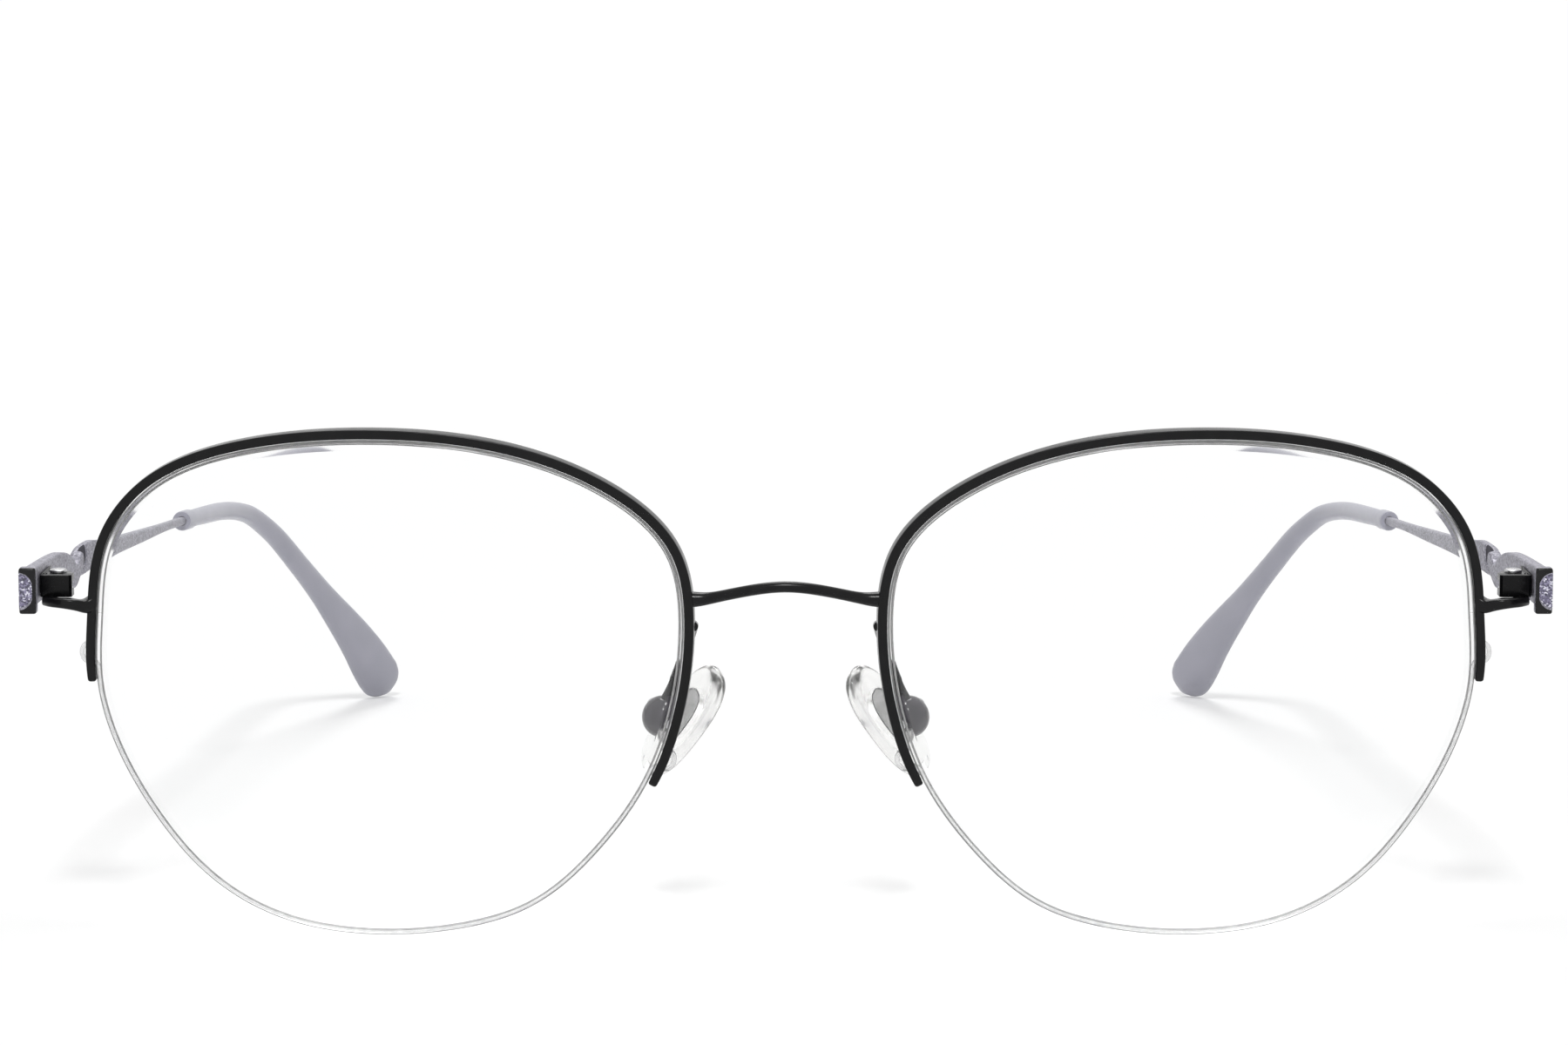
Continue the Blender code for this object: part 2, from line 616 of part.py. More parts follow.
def bridge(blanks):
    """The wire between the rims: it bows forward and up, and widens at its two soldered feet."""
    foot = edge_at_height(BRIDGE_HEIGHT, True, RIM_THICKNESS / 2, 0)
    half = []
    for along, bow, rise in BRIDGE_SHARES:
        half.append((foot.x * (1 - along), foot.y - BRIDGE_BOW * bow, foot.z + BRIDGE_RISE * rise))
    whole = half + [(-x, y, z) for x, y, z in half[-2::-1]]
    shares = BRIDGE_PLACE_SHARES + tuple(1 - share for share in BRIDGE_PLACE_SHARES[-2::-1])
    line = at_shares(spline(whole, 3), 3, shares)
    radii = [BRIDGE_RADIUS] * len(line)
    for i in (0, 1):
        radii[i] = radii[-1 - i] = BRIDGE_FOOT_RADIUS
    radii[2] = radii[-3] = (BRIDGE_RADIUS + BRIDGE_FOOT_RADIUS) / 2
    made = solid("bridge", tube(line, radii, WIRE_SIDES), "rim_black")
    for blank in blanks.values():
        cut(made, blank)
    return made


def rounded_block(centre, level, steep, half_wide, half_tall):
    """A ring with eight corners: a block's section with its corners taken off."""
    shy = CORNER_SHARE * min(half_wide, half_tall)
    places = ((half_wide, shy - half_tall), (half_wide, half_tall - shy), (half_wide - shy, half_tall),
              (shy - half_wide, half_tall), (-half_wide, half_tall - shy), (-half_wide, shy - half_tall),
              (shy - half_wide, -half_tall), (half_wide - shy, -half_tall))
    return [centre + level * a + steep * b for a, b in places]


def endpiece(name, side, blank):
    """The tapered bar from the rim, whose outer end bends back to the hinge."""
    root = edge_at_height(BAR_HEIGHT_ON_LENS, False, RIM_THICKNESS / 2, 0)
    back = LEAF_FRONT_Y - SOLDER_GAP
    front = LEAF_FRONT_Y - BAR_BEFORE_LEAF
    end_x = PIN_X + BAR_END_BESIDE_PIN
    end_z = BARREL_BOTTOM - BAR_END_BELOW_BARREL
    corner = end_x - BAR_END_DEPTH
    fillet_rise = (BAR_FILLET_HEIGHT - BAR_ROOT_HEIGHT) / 2
    middle_height = (BAR_ROOT_HEIGHT + BAR_END_HEIGHT) / 2
    line = [(root.x, root.y, root.z + fillet_rise, BAR_ROOT_DEPTH, BAR_FILLET_HEIGHT),
            (root.x + RIM_THICKNESS, (root.y + front) / 2, root.z, BAR_ROOT_DEPTH, BAR_ROOT_HEIGHT),
            ((root.x + corner) / 2, front, (root.z + end_z) / 2, BAR_ROOT_DEPTH, middle_height),
            (corner, front, end_z, BAR_END_DEPTH, BAR_END_HEIGHT),
            (end_x, back, end_z, BAR_END_DEPTH, BAR_END_HEIGHT)]
    fine = at_shares(spline(line, 3), 3, [i / BAR_STEPS for i in range(BAR_STEPS + 1)])
    rings = []
    for i, row in enumerate(fine):
        run = Vector(fine[min(i + 1, len(fine) - 1)][:3]) - Vector(fine[max(i - 1, 0)][:3])
        if i == len(fine) - 1:
            run = Vector((0, 1, 0))
        level = Vector((run.y, -run.x, 0)).normalized()
        rings.append(rounded_block(Vector(row[:3]), level, Vector((0, 0, 1)), row[3] / 2, row[4] / 2))
    made = solid(name, rings, "rim_black", side)
    cut(made, blank)
    return made


def barrel_arc(first_turn, last_turn):
    """Points of the barrel's round side, between two directions from the pin."""
    steps = [first_turn + (last_turn - first_turn) * i / ARC_SIDES for i in range(ARC_SIDES + 1)]
    return [(PIN_X + BARREL_RADIUS * math.cos(t), PIN_Y + BARREL_RADIUS * math.sin(t)) for t in steps]


def prism(plan, low, high):
    """Rings of an upright form with one plan outline."""
    return [[Vector((x, y, z)) for x, y in plan] for z in (low, high)]


def knuckle_levels():
    """The heights of the joints between the barrel's three knuckles."""
    third = BARREL_HEIGHT / 3
    return BARREL_BOTTOM + third, BARREL_BOTTOM + 2 * third


def front_leaf(name, side, bore):
    """The hinge half on the front: a block with a cheek that covers the temple's half, and two knuckles."""
    front = PIN_Y - BARREL_RADIUS - 2 * KNUCKLE_GAP
    cheek_x = PIN_X + LEAF_CHEEK_REACH
    knuckle_x = PIN_X + LEAF_KNUCKLE_REACH
    plan = [(LEAF_INNER_X, LEAF_FRONT_Y + LEAF_CORNER), (LEAF_INNER_X + LEAF_CORNER, LEAF_FRONT_Y),
            (cheek_x - LEAF_CORNER, LEAF_FRONT_Y), (cheek_x, LEAF_FRONT_Y + LEAF_CORNER), (cheek_x, front),
            (knuckle_x, front)]
    plan += barrel_arc(-math.acos(LEAF_KNUCKLE_REACH / BARREL_RADIUS), math.pi)
    plan += [(LEAF_INNER_X, PIN_Y - LEAF_MARGIN)]
    made = solid(name, prism(plan, BARREL_BOTTOM, BARREL_TOP), "hinge_black", side)
    low, high = knuckle_levels()
    slot = box((LEAF_INNER_X - CUT_OVERRUN, front, low - KNUCKLE_GAP / 2),
               (TEMPLE_OUTER_X, PIN_Y + BARREL_RADIUS + CUT_OVERRUN, high + KNUCKLE_GAP / 2))
    cut(made, solid(f"{name}_slot", slot, None, side, cutter=True))
    cut(made, bore)
    return made


def temple_leaf(name, side, axis, bore):
    """The hinge half on the temple: a plate with the middle knuckle."""
    inner = PIN_X + BARREL_RADIUS + TEMPLE_LEAF_GAP
    outer = TEMPLE_OUTER_X - PLATE_THICKNESS - SOLDER_GAP
    front = PIN_Y - BARREL_RADIUS
    turn = TEMPLE_KNUCKLE_TURN
    plan = [(inner, front), (outer, front), (outer, PIN_Y + TEMPLE_LEAF_LENGTH - LEAF_CORNER),
            (inner, PIN_Y + TEMPLE_LEAF_LENGTH)]
    plan += [(inner, PIN_Y + BARREL_RADIUS)]
    plan += barrel_arc(turn, math.tau - turn)
    plan += [(inner, PIN_Y - BARREL_RADIUS * math.sin(turn))]
    made = solid(name, prism(plan, BARREL_BOTTOM, BARREL_TOP), "hinge_black", side, parent=axis)
    low, high = knuckle_levels()
    far = inner + KNUCKLE_GAP / 2
    near = PIN_X - BARREL_RADIUS - CUT_OVERRUN
    reach = BARREL_RADIUS + CUT_OVERRUN + CUT_OVERRUN
    spans = (("below", BARREL_BOTTOM - CUT_OVERRUN, low + KNUCKLE_GAP / 2),
             ("above", high - KNUCKLE_GAP / 2, BARREL_TOP + CUT_OVERRUN))
    for word, start, end in spans:
        block = box((near, PIN_Y - reach, start), (far, PIN_Y + reach, end))
        cut(made, solid(f"{name}_{word}", block, None, side, cutter=True))
    cut(made, bore)
    return made


def hinge_screw(name, side):
    """The slotted screw that is the hinge's pin."""
    seat = BARREL_TOP + SCREW_SEAT_GAP
    top = seat + SCREW_HEAD_HEIGHT
    first, second = Vector((1, 0, 0)), Vector((0, 1, 0))
    profile = ((PIN_RADIUS, BARREL_BOTTOM), (PIN_RADIUS, seat), (SCREW_HEAD_RADIUS, seat),
               (SCREW_HEAD_RADIUS, top - SLOT_DEPTH / 2), (SCREW_HEAD_RADIUS - SLOT_DEPTH, top))
    rings = [circle(Vector((PIN_X, PIN_Y, z)), first, second, r, CUP_SIDES) for r, z in profile]
    made = solid(name, rings, "screw_steel", side)
    low = (PIN_X - BARREL_RADIUS, PIN_Y - SLOT_WIDTH / 2, top - SLOT_DEPTH)
    high = (PIN_X + BARREL_RADIUS, PIN_Y + SLOT_WIDTH / 2, top + CUT_OVERRUN)
    cut(made, solid(f"{name}_slot", box(low, high), None, side, cutter=True))
    return made


def temple_line():
    """The line of the temple's outer face, with its thickness and height, from front corner to tip end."""
    rows = []
    for run, inward, drop, thick, tall in RIBBON_SHARES:
        outer = TEMPLE_OUTER_X + (BEND_OUTER_X - TEMPLE_OUTER_X) * inward
        rows.append((outer, TEMPLE_FRONT_Y + (BEND_Y - TEMPLE_FRONT_Y) * run,
                     TEMPLE_FRONT_Z + (BEND_Z - TEMPLE_FRONT_Z) * drop, PLATE_THICKNESS * thick,
                     TAG_HEIGHT * tall))
    bend = rows[-1]
    for run, inward, drop in EAR_SHARES:
        rows.append((bend[0] - EAR_INWARD * inward, BEND_Y + EAR_RUN * run,
                     BEND_Z + (EAR_END_Z - BEND_Z) * drop, bend[3], bend[4]))
    return spline(rows, 3, steady=True)


TEMPLE_LINE = temple_line()


def share_at_y(y):
    """The share of the temple's length at which it passes a distance back."""
    reach = lengths_along(TEMPLE_LINE, 3)
    return float(np.interp(y, TEMPLE_LINE[:, 1], reach / reach[-1]))


TIP_START_SHARE = share_at_y(BEND_Y - TIP_BEFORE_BEND)


def temple_places(shares):
    """Middles of the temple's sections, with its direction, thickness and height at each."""
    rows = at_shares(TEMPLE_LINE, 3, shares)
    step = 1 / len(TEMPLE_LINE)
    ahead = at_shares(TEMPLE_LINE, 3, [min(1, s + step) for s in shares])
    behind = at_shares(TEMPLE_LINE, 3, [max(0, s - step) for s in shares])
    places = []
    for row, a, b in zip(rows, ahead, behind):
        run = Vector(a[:3] - b[:3]).normalized()
        level, _ = across(run)
        places.append((Vector(row[:3]) - level * row[3] / 2, run, row[3], row[4]))
    return places


def core_shares():
    """Shares of the temple's length at which the core wire and its bore have their rings."""
    span = (1 - TIP_START_SHARE) * TIP_CORE_SHARE
    return [TIP_START_SHARE + span * i / CORE_STEPS for i in range(CORE_STEPS + 1)]


def temple_shares():
    """Shares of the temple's length: the front corner's own steps, then the ribbon and the core wire."""
    first = RIBBON_START_SHARE
    ribbon = [first + (TIP_START_SHARE - first) * i / RIBBON_STEPS for i in range(RIBBON_STEPS)]
    ribbon += [share_at_y(TEMPLE_FRONT_Y + TEMPLE_RUN * share) for share in SHOULDER_SHARES]
    return list(CORNER_PLACE_SHARES) + sorted(ribbon) + core_shares()


def temple(name, side, axis, recess):
    """Hooked corner, waved ribbon, thin rod and the core wire inside the tip, in one piece."""
    rings = []
    for centre, run, thickness, height in temple_places(temple_shares()):
        level, steep = across(run)
        rings.append(rounded_block(centre, level, steep, thickness / 2, height / 2))
    made = solid(name, rings, "temple_lavender", side, parent=axis)
    cut(made, recess)
    return made


def inlay_rings(grow, proud):
    """A leaf-shaped strip across the front corner's face, round its edge and back along the outer face."""
    face_y = TEMPLE_FRONT_Y + INLAY_RECESS - proud
    tag_width = PLATE_THICKNESS * RIBBON_SHARES[1][3]
    face_x = TEMPLE_OUTER_X - tag_width + INLAY_BORDER - grow
    side_x = TEMPLE_OUTER_X - INLAY_RECESS + proud
    deep = INLAY_THICKNESS + grow + proud
    turn_x = TEMPLE_OUTER_X - 2 * INLAY_THICKNESS
    turn_y = TEMPLE_FRONT_Y + 2 * INLAY_THICKNESS
    rear = turn_y + INLAY_LENGTH + grow
    line = [((face_x, face_y), (face_x, face_y + deep)), ((turn_x, face_y), (turn_x, face_y + deep)),
            ((side_x, turn_y), (side_x - deep, turn_y))]
    tall_shares = list(INLAY_FACE_SHARES)
    for i in range(1, INLAY_STEPS + 1):
        share = i / INLAY_STEPS
        y = turn_y + (rear - turn_y) * share
        line.append(((side_x, y), (side_x - deep, y)))
        tall_shares.append(max(INLAY_END_SHARE, math.cos(math.pi / 2 * share ** INLAY_FULLNESS)))
    rings = []
    for (outer, inner), share in zip(line, tall_shares):
        half = INLAY_HALF_HEIGHT * share + grow
        fall = (TEMPLE_FRONT_Z - BEND_Z) * INLAY_DROP_SHARE
        middle = TEMPLE_FRONT_Z - fall * max(0, outer[1] - turn_y) / INLAY_LENGTH
        rings.append([Vector((*outer, middle - half)), Vector((*outer, middle + half)),
                      Vector((*inner, middle + half)), Vector((*inner, middle - half))])
    return rings


def inlay(name, side, axis):
    """The glitter field, set into the temple's face."""
    return solid(name, inlay_rings(0, 0), "glitter", side, parent=axis)


def tip_rings():
    """Rings from the bore's floor out of its mouth, over the collar and back to the paddle's end."""
    span = 1 - TIP_START_SHARE
    floor = TIP_START_SHARE + span * TIP_BORE_SHARE
    rings = []
    for centre, run, _, _ in temple_places([floor] + core_shares()[::-1]):
        level, steep = across(run)
        rings.append(circle(centre, level, steep, TIP_BORE_RADIUS, TIP_SIDES))
    places = temple_places([TIP_START_SHARE + span * row[0] for row in TIP_SHARES])
    for (centre, run, _, _), (share, wide, thick) in zip(places, TIP_SHARES):
        level, steep = across(run)
        turn = Matrix.Rotation(-TIP_TWIST * max(0, share - 0.5) * 2, 3, run)
        rings.append(circle(centre, turn @ level, turn @ steep, TIP_HALF_THICKNESS * thick, TIP_SIDES,
                            TIP_HALF_WIDTH * wide))
    return rings


def pad_axes():
    """The pad's long direction, its width direction and the way that it faces the nose."""
    facing = Vector((-math.cos(PAD_SPLAY) * math.cos(PAD_DIP), math.sin(PAD_SPLAY) * math.cos(PAD_DIP),
                     -math.sin(PAD_DIP)))
    lean = Vector((-math.sin(PAD_LEAN), 0, math.cos(PAD_LEAN)))
    long = (lean - facing * lean.dot(facing)).normalized()
    return long, facing.cross(long).normalized(), facing


PAD_LONG, PAD_ACROSS, PAD_FACING = pad_axes()
PAD_CENTRE = Vector((PAD_SPACING / 2, NOSE_EDGE.y + PAD_BEHIND_LENS, LENS_CENTRE.z - PAD_BELOW_MIDDLE))
PAD_PIVOT = PAD_CENTRE - PAD_FACING * PAD_AXIS_DEPTH


def blunt(value):
    """A sine or cosine drawn out, so that an oval made with it gets fuller ends."""
    return math.copysign(abs(value) ** (2 / PAD_BLUNTNESS), value)


def pad_ring(share, height, shy=0):
    """One ring of the pad's blunt oval, at a height towards the nose."""
    centre = PAD_CENTRE + PAD_FACING * height
    half_long = PAD_LENGTH / 2 * share - shy
    half_wide = PAD_WIDTH / 2 * share - shy
    ring = []
    for i in range(PAD_SIDES):
        turn = math.tau * (i + 0.5) / PAD_SIDES
        along, aside = blunt(math.cos(turn)), blunt(math.sin(turn))
        ring.append(centre + PAD_LONG * (half_long * along) + PAD_ACROSS * (half_wide * aside))
    return ring


def nose_pad(name, side, axis):
    """The soft oval pad, crowned towards the nose, with a pocket at its back for its core."""
    floor = PAD_THICKNESS * PAD_POCKET_FLOOR_SHARE
    mouth = PAD_THICKNESS * PAD_PROFILE_SHARES[0][1]
    rings = [pad_ring(PAD_POCKET_SHARE, floor), pad_ring(PAD_POCKET_SHARE, mouth)]
    rings += [pad_ring(share, PAD_THICKNESS * height) for share, height in PAD_PROFILE_SHARES]
    return solid(name, rings, "pad_clear", side, parent=axis)


def pad_core(name, side, axis, drill):
    """The stiff plate inside the pad, with the stub that turns on the pad's screw."""
    top = PAD_THICKNESS * PAD_POCKET_FLOOR_SHARE - CORE_GAP
    low = PAD_THICKNESS * PAD_PROFILE_SHARES[0][1]
    rings = [pad_ring(PAD_POCKET_SHARE, top, CORE_GAP), pad_ring(PAD_POCKET_SHARE, low, CORE_GAP)]
    for depth in (-low, -low + CORE_STUB_LENGTH):
        rings.append(circle(PAD_CENTRE - PAD_FACING * depth, PAD_LONG, PAD_ACROSS, CORE_STUB_RADIUS, PAD_SIDES))
    made = solid(name, rings, "pad_core_clear", side, parent=axis)
    cut(made, drill)
    return made


def pad_cup(name, side, drill):
    """The round housing that holds the pad's stub."""
    rings = []
    for radius, share in CUP_ROUNDING_SHARES:
        depth = CUP_BACK_DEPTH + (CUP_RIM_DEPTH - CUP_BACK_DEPTH) * share
        rings.append(circle(PAD_CENTRE - PAD_FACING * depth, PAD_LONG, PAD_ACROSS, CUP_RADIUS * radius, CUP_SIDES))
    for depth in (CUP_RIM_DEPTH, CUP_FLOOR_DEPTH):
        rings.append(circle(PAD_CENTRE - PAD_FACING * depth, PAD_LONG, PAD_ACROSS, CUP_BORE_RADIUS, CUP_SIDES))
    made = solid(name, rings, "hinge_black", side)
    cut(made, drill)
    return made


def pad_drill(name, side):
    """The hole for the pad's screw, across the housing and the stub."""
    reach = CUP_RADIUS + CUT_OVERRUN
    ends = PAD_PIVOT - PAD_ACROSS * reach, PAD_PIVOT + PAD_ACROSS * reach
    radius = PAD_SCREW_RADIUS + PAD_SCREW_CLEARANCE
    return solid(name, rod(*ends, radius, WIRE_SIDES), None, side, cutter=True)


def pad_screw(name, side):
    """The small screw that the pad rocks on."""
    reach = CUP_RADIUS + PAD_SCREW_PROUD
    ends = PAD_PIVOT - PAD_ACROSS * reach, PAD_PIVOT + PAD_ACROSS * reach
    return solid(name, rod(*ends, PAD_SCREW_RADIUS, WIRE_SIDES), "screw_steel", side)


def pad_arm(name, side, blank):
    """The bent wire from the back of the rim's nose side to the pad's housing."""
    root = edge_at_height(ARM_HEIGHT, True, ARM_BESIDE_LENS, RIM_DEPTH / 2)
    cup = PAD_CENTRE - PAD_FACING * (CUP_BACK_DEPTH + CUP_RIM_DEPTH) / 2
    span = cup - root
    line = [(root.x + span.x * aside, root.y + span.y * back, root.z + span.z * down)
            for aside, down, back in ARM_SHARES]
    fine = at_shares(spline(line, 3), 3, [i / ARM_STEPS for i in range(ARM_STEPS + 1)])
    radii = [ARM_RADIUS + (ARM_END_RADIUS - ARM_RADIUS) * (i / ARM_STEPS) ** 2 for i in range(ARM_STEPS + 1)]
    made = solid(name, tube(fine, radii, WIRE_SIDES), "rim_black", side)
    cut(made, blank)
    house = [circle(PAD_CENTRE - PAD_FACING * depth, PAD_LONG, PAD_ACROSS, CUP_RADIUS + SOLDER_GAP, CUP_SIDES)
             for depth in (CUP_RIM_DEPTH - CUT_OVERRUN, CUP_BACK_DEPTH + CUT_OVERRUN)]
    cut(made, solid(f"{name}_house", house, None, side, cutter=True))
    return made


def build():
    """Every piece on both sides."""
    blanks = {}
    for word, side in SIDES.items():
        blank = blanks[word] = rim_blank(f"rim_blank_{word}", side)
        fold = axis_empty(f"temple_axis_{word}", side * PIN_X, PIN_Y, BARREL_BOTTOM)
        rock = axis_empty(f"nose_pad_axis_{word}", side * PAD_PIVOT.x, PAD_PIVOT.y, PAD_PIVOT.z)
        lens(f"lens_{word}", side)
        rim(f"rim_{word}", side)
        liner(f"rim_liner_{word}", side)
        lens_cord(f"lens_cord_{word}", side)
        endpiece(f"endpiece_{word}", side, blank)
        bore_rings = upright(PIN_X, PIN_Y, PIN_RADIUS + PIN_CLEARANCE, BARREL_BOTTOM - CUT_OVERRUN,
                             BARREL_TOP + CUT_OVERRUN, CUP_SIDES)
        bore = solid(f"hinge_bore_{word}", bore_rings, None, side, cutter=True)
        front_leaf(f"hinge_front_{word}", side, bore)
        temple_leaf(f"hinge_temple_{word}", side, fold, bore)
        hinge_screw(f"hinge_screw_{word}", side)
        recess = solid(f"inlay_recess_{word}", inlay_rings(INLAY_GAP, CUT_OVERRUN), None, side, cutter=True)
        temple(f"temple_{word}", side, fold, recess)
        inlay(f"temple_inlay_{word}", side, fold)
        solid(f"temple_tip_{word}", tip_rings(), "tip_lavender", side, parent=fold)
        drill = pad_drill(f"pad_drill_{word}", side)
        pad_arm(f"pad_arm_{word}", side, blank)
        pad_cup(f"pad_cup_{word}", side, drill)
        pad_screw(f"pad_screw_{word}", side)
        pad_core(f"pad_core_{word}", side, rock, drill)
        nose_pad(f"nose_pad_{word}", side, rock)
    bridge(blanks)


build()
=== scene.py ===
"""The looks of the semi-rimless eyeglasses: finer pieces, finishes, floor, light and camera.

X runs across the face, the front looks along -Y and Z is up. Every piece is worked out for the
+X side and mirrored. Y is measured from the lenses' foremost points until a piece is made.
"""
import json
import math

import bmesh
import bpy
import numpy as np
from mathutils import Matrix, Vector

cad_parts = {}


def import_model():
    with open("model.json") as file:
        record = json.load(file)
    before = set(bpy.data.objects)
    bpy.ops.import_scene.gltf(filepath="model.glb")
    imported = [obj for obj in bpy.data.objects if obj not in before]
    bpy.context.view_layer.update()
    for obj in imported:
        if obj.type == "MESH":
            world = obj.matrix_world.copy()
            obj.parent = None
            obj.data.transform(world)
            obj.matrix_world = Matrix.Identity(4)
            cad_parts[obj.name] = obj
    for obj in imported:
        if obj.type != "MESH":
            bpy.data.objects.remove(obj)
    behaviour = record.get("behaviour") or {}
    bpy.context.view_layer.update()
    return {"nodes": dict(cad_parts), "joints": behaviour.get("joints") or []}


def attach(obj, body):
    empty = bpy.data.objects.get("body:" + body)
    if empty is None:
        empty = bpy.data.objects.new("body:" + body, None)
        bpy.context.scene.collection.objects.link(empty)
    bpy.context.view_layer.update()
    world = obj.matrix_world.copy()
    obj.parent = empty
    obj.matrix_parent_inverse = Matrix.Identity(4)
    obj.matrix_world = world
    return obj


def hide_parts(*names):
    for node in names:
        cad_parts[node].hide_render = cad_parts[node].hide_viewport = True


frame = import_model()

SIDES = {"left": -1, "right": 1}

# Camera, fitted to the photo: 450 mm in front of the lenses and looking down a little
CAMERA_X = -0.000155
CAMERA_DISTANCE = 0.450
CAMERA_Z = 0.10013
CAMERA_PITCH = math.radians(7.823)
FOCAL = 117.58
SENSOR = 36

# Lens
LENS_WIDTH = 0.0532
LENS_HEIGHT = 0.0456
LENS_SPACING = 0.0183
LENS_THICKNESS = 0.0020
LENS_CURVE_RADIUS = 0.1150
FACE_FORM = math.radians(4.5)
FRONT_TILT = math.radians(4.0)
LENS_OUTLINE_SHARES = (
    (1.0, 0.01), (0.995, 0.27), (0.95, 0.58), (0.79, 0.805), (0.475, 0.95), (0.045, 1.0), (-0.37, 0.955),
    (-0.74, 0.79), (-0.95, 0.56), (-1.0, 0.275), (-0.97, -0.05), (-0.873, -0.37), (-0.695, -0.66),
    (-0.466, -0.883), (-0.19, -0.98), (0.09, -1.0), (0.367, -0.949), (0.609, -0.797), (0.803, -0.541),
    (0.938, -0.258))
RIM_END_SHARE_INDEX = 11
OVER_STEPS = 176
UNDER_STEPS = 88
CURVE_STEPS = 24
LENS_RINGS = 14
BEVEL_WIDTH = 0.00085
BEVEL_DEPTH = 0.00026
BEVEL_MARGIN = 0.00025
EDGE_CHAMFER = 0.00015
GROOVE_DEPTH = 0.00055
GROOVE_HALF_WIDTH = 0.00031
GROOVE_FLOOR_HALF_WIDTH = 0.00028
GROOVE_FLOOR_ROUNDING = 0.00016

# Rim, liner and cord
RIM_FIT = 0.00008
RIM_THICKNESS = 0.00085
RIM_DEPTH = 0.00155
RIM_ROUNDING = 0.00020
CHANNEL_DEPTH = 0.00042
CHANNEL_HALF_WIDTH = 0.00042
RIM_END_TAPER = 0.0022
RIM_END_THICKNESS = 0.00078
RIM_END_ROUNDING = 0.00028
LINER_GAP = 0.00006
LINER_STEM_HALF_WIDTH = 0.00018
LINER_STEM_REACH = 0.00045
LINER_SET_BACK = 12
CORD_RADIUS = 0.00022
CORD_FLOOR_GAP = 0.00005
CORD_HOLE_RADIUS = 0.00031
CORD_HOLE_FROM_END = 0.0018
CORD_HOLE_SPACING = 0.0015
CORD_OUTSIDE_GAP = 0.00008
CORD_SIDES = 14

# Bridge wire
BRIDGE_HEIGHT = 0.0083
BRIDGE_RADIUS = 0.00050
BRIDGE_FOOT_RADIUS = 0.00072
BRIDGE_FOOT_LENGTH = 0.0016
BRIDGE_RISE = 0.00130
BRIDGE_BOW = 0.0012
BRIDGE_SHARES = ((0.0, 0.0, 0.0), (0.13, 0.06, 0.02), (0.38, 0.42, 0.34), (0.68, 0.83, 0.78), (1.0, 1.0, 1.0))
BRIDGE_STEPS = 90
WIRE_SIDES = 24

# Hinge and endpiece bar
PIN_BEHIND_LENS = 0.0032
LEAF_FRONT_REACH = 0.0020
BAR_HEIGHT_ON_LENS = 0.00705
BAR_ROOT_HEIGHT = 0.00122
BAR_FILLET_HEIGHT = 0.0019
BAR_END_HEIGHT = 0.00087
BAR_ROOT_DEPTH = 0.00150
BAR_END_DEPTH = 0.00100
BAR_END_BESIDE_PIN = 0.0008
BAR_END_BELOW_BARREL = 0.0003
BAR_BEFORE_LEAF = 0.0011
BAR_STEPS = 64
BAR_ROUNDING_SHARE = 0.7

# Temple
TEMPLE_BESIDE_PIN = 0.00268
TEMPLE_BEFORE_PIN = 0.0064
TEMPLE_ABOVE_HINGE = 0.0003
TEMPLE_RUN = 0.0952
TEMPLE_INWARD = 0.0079
TEMPLE_DROP = 0.0058
PLATE_THICKNESS = 0.00115
TAG_HEIGHT = 0.0040
BARREL_HEIGHT = 0.0020
RIBBON_SHARES = (
    (0.0, 0.0, 0.015, 1.32, 1.04), (0.012, 0.0, 0.015, 1.32, 1.04),
    (0.020, 0.0, 0.01, 1.0, 0.94), (0.045, 0.0, 0.025, 1.0, 0.86), (0.112, 0.0, 0.075, 1.0, 0.83),
    (0.191, 0.03, 0.135, 1.0, 0.79), (0.210, 0.045, 0.162, 1.0, 0.745), (0.238, 0.065, 0.23, 1.0, 0.60),
    (0.267, 0.09, 0.345, 1.0, 0.345), (0.278, 0.10, 0.32, 1.0, 0.43), (0.287, 0.11, 0.28, 1.0, 0.56),
    (0.303, 0.13, 0.255, 1.0, 0.66), (0.335, 0.18, 0.25, 1.0, 0.71), (0.370, 0.237, 0.28, 0.95, 0.61),
    (0.426, 0.35, 0.31, 0.85, 0.43), (0.559, 0.525, 0.43, 0.80, 0.31), (0.695, 0.684, 0.56, 0.78, 0.21),
    (0.863, 0.861, 0.777, 0.78, 0.21), (1.0, 1.0, 1.0, 0.78, 0.21))
EAR_RUN = 0.0350
EAR_INWARD = 0.0143
EAR_END_Z = 0.0006
EAR_SHARES = ((0.22, 0.10, 0.055), (0.37, 0.24, 0.16), (0.53, 0.42, 0.34), (0.69, 0.61, 0.54),
              (0.84, 0.80, 0.745), (1.0, 1.0, 1.0))
TEMPLE_STEPS = 330
CORE_STEPS = 24
PLATE_ROUNDING = 0.00024
ROD_ROUNDING = 0.00042
CORNER_ROUNDING = 0.00022
CORNER_STEPS = 5
ARC_STEPS = 4
FACE_STEPS = 14
# The ribbon's thick part ends in an arc, and a groove runs behind it, whose faces carry a dark lacquer: painted
# shade of the recess
SHOULDER_SHARE = 0.2895
SHOULDER_SPAN = 0.0080
SHOULDER_LIFT = 0.0014
SHOULDER_HOOK = 0.0041
SHOULDER_EDGE = 0.00025
GROOVE_RUN = 0.0024
GROOVE_SHARE = 0.60
BEHIND_SHARE = 0.70
BEHIND_RUN = 0.0110

# Glitter inlay
INLAY_THICKNESS = 0.00025
INLAY_PROUD = 0.00003
INLAY_HALF_HEIGHT = 0.00150
INLAY_FACE_WIDTH = 0.00128
INLAY_LENGTH = 0.0120
INLAY_END_SHARE = 0.10
INLAY_DROP_SHARE = 0.10
INLAY_FULLNESS = 1.5
INLAY_BORDER = 0.00022
INLAY_LINE = 0.00007
INLAY_STEPS = 12

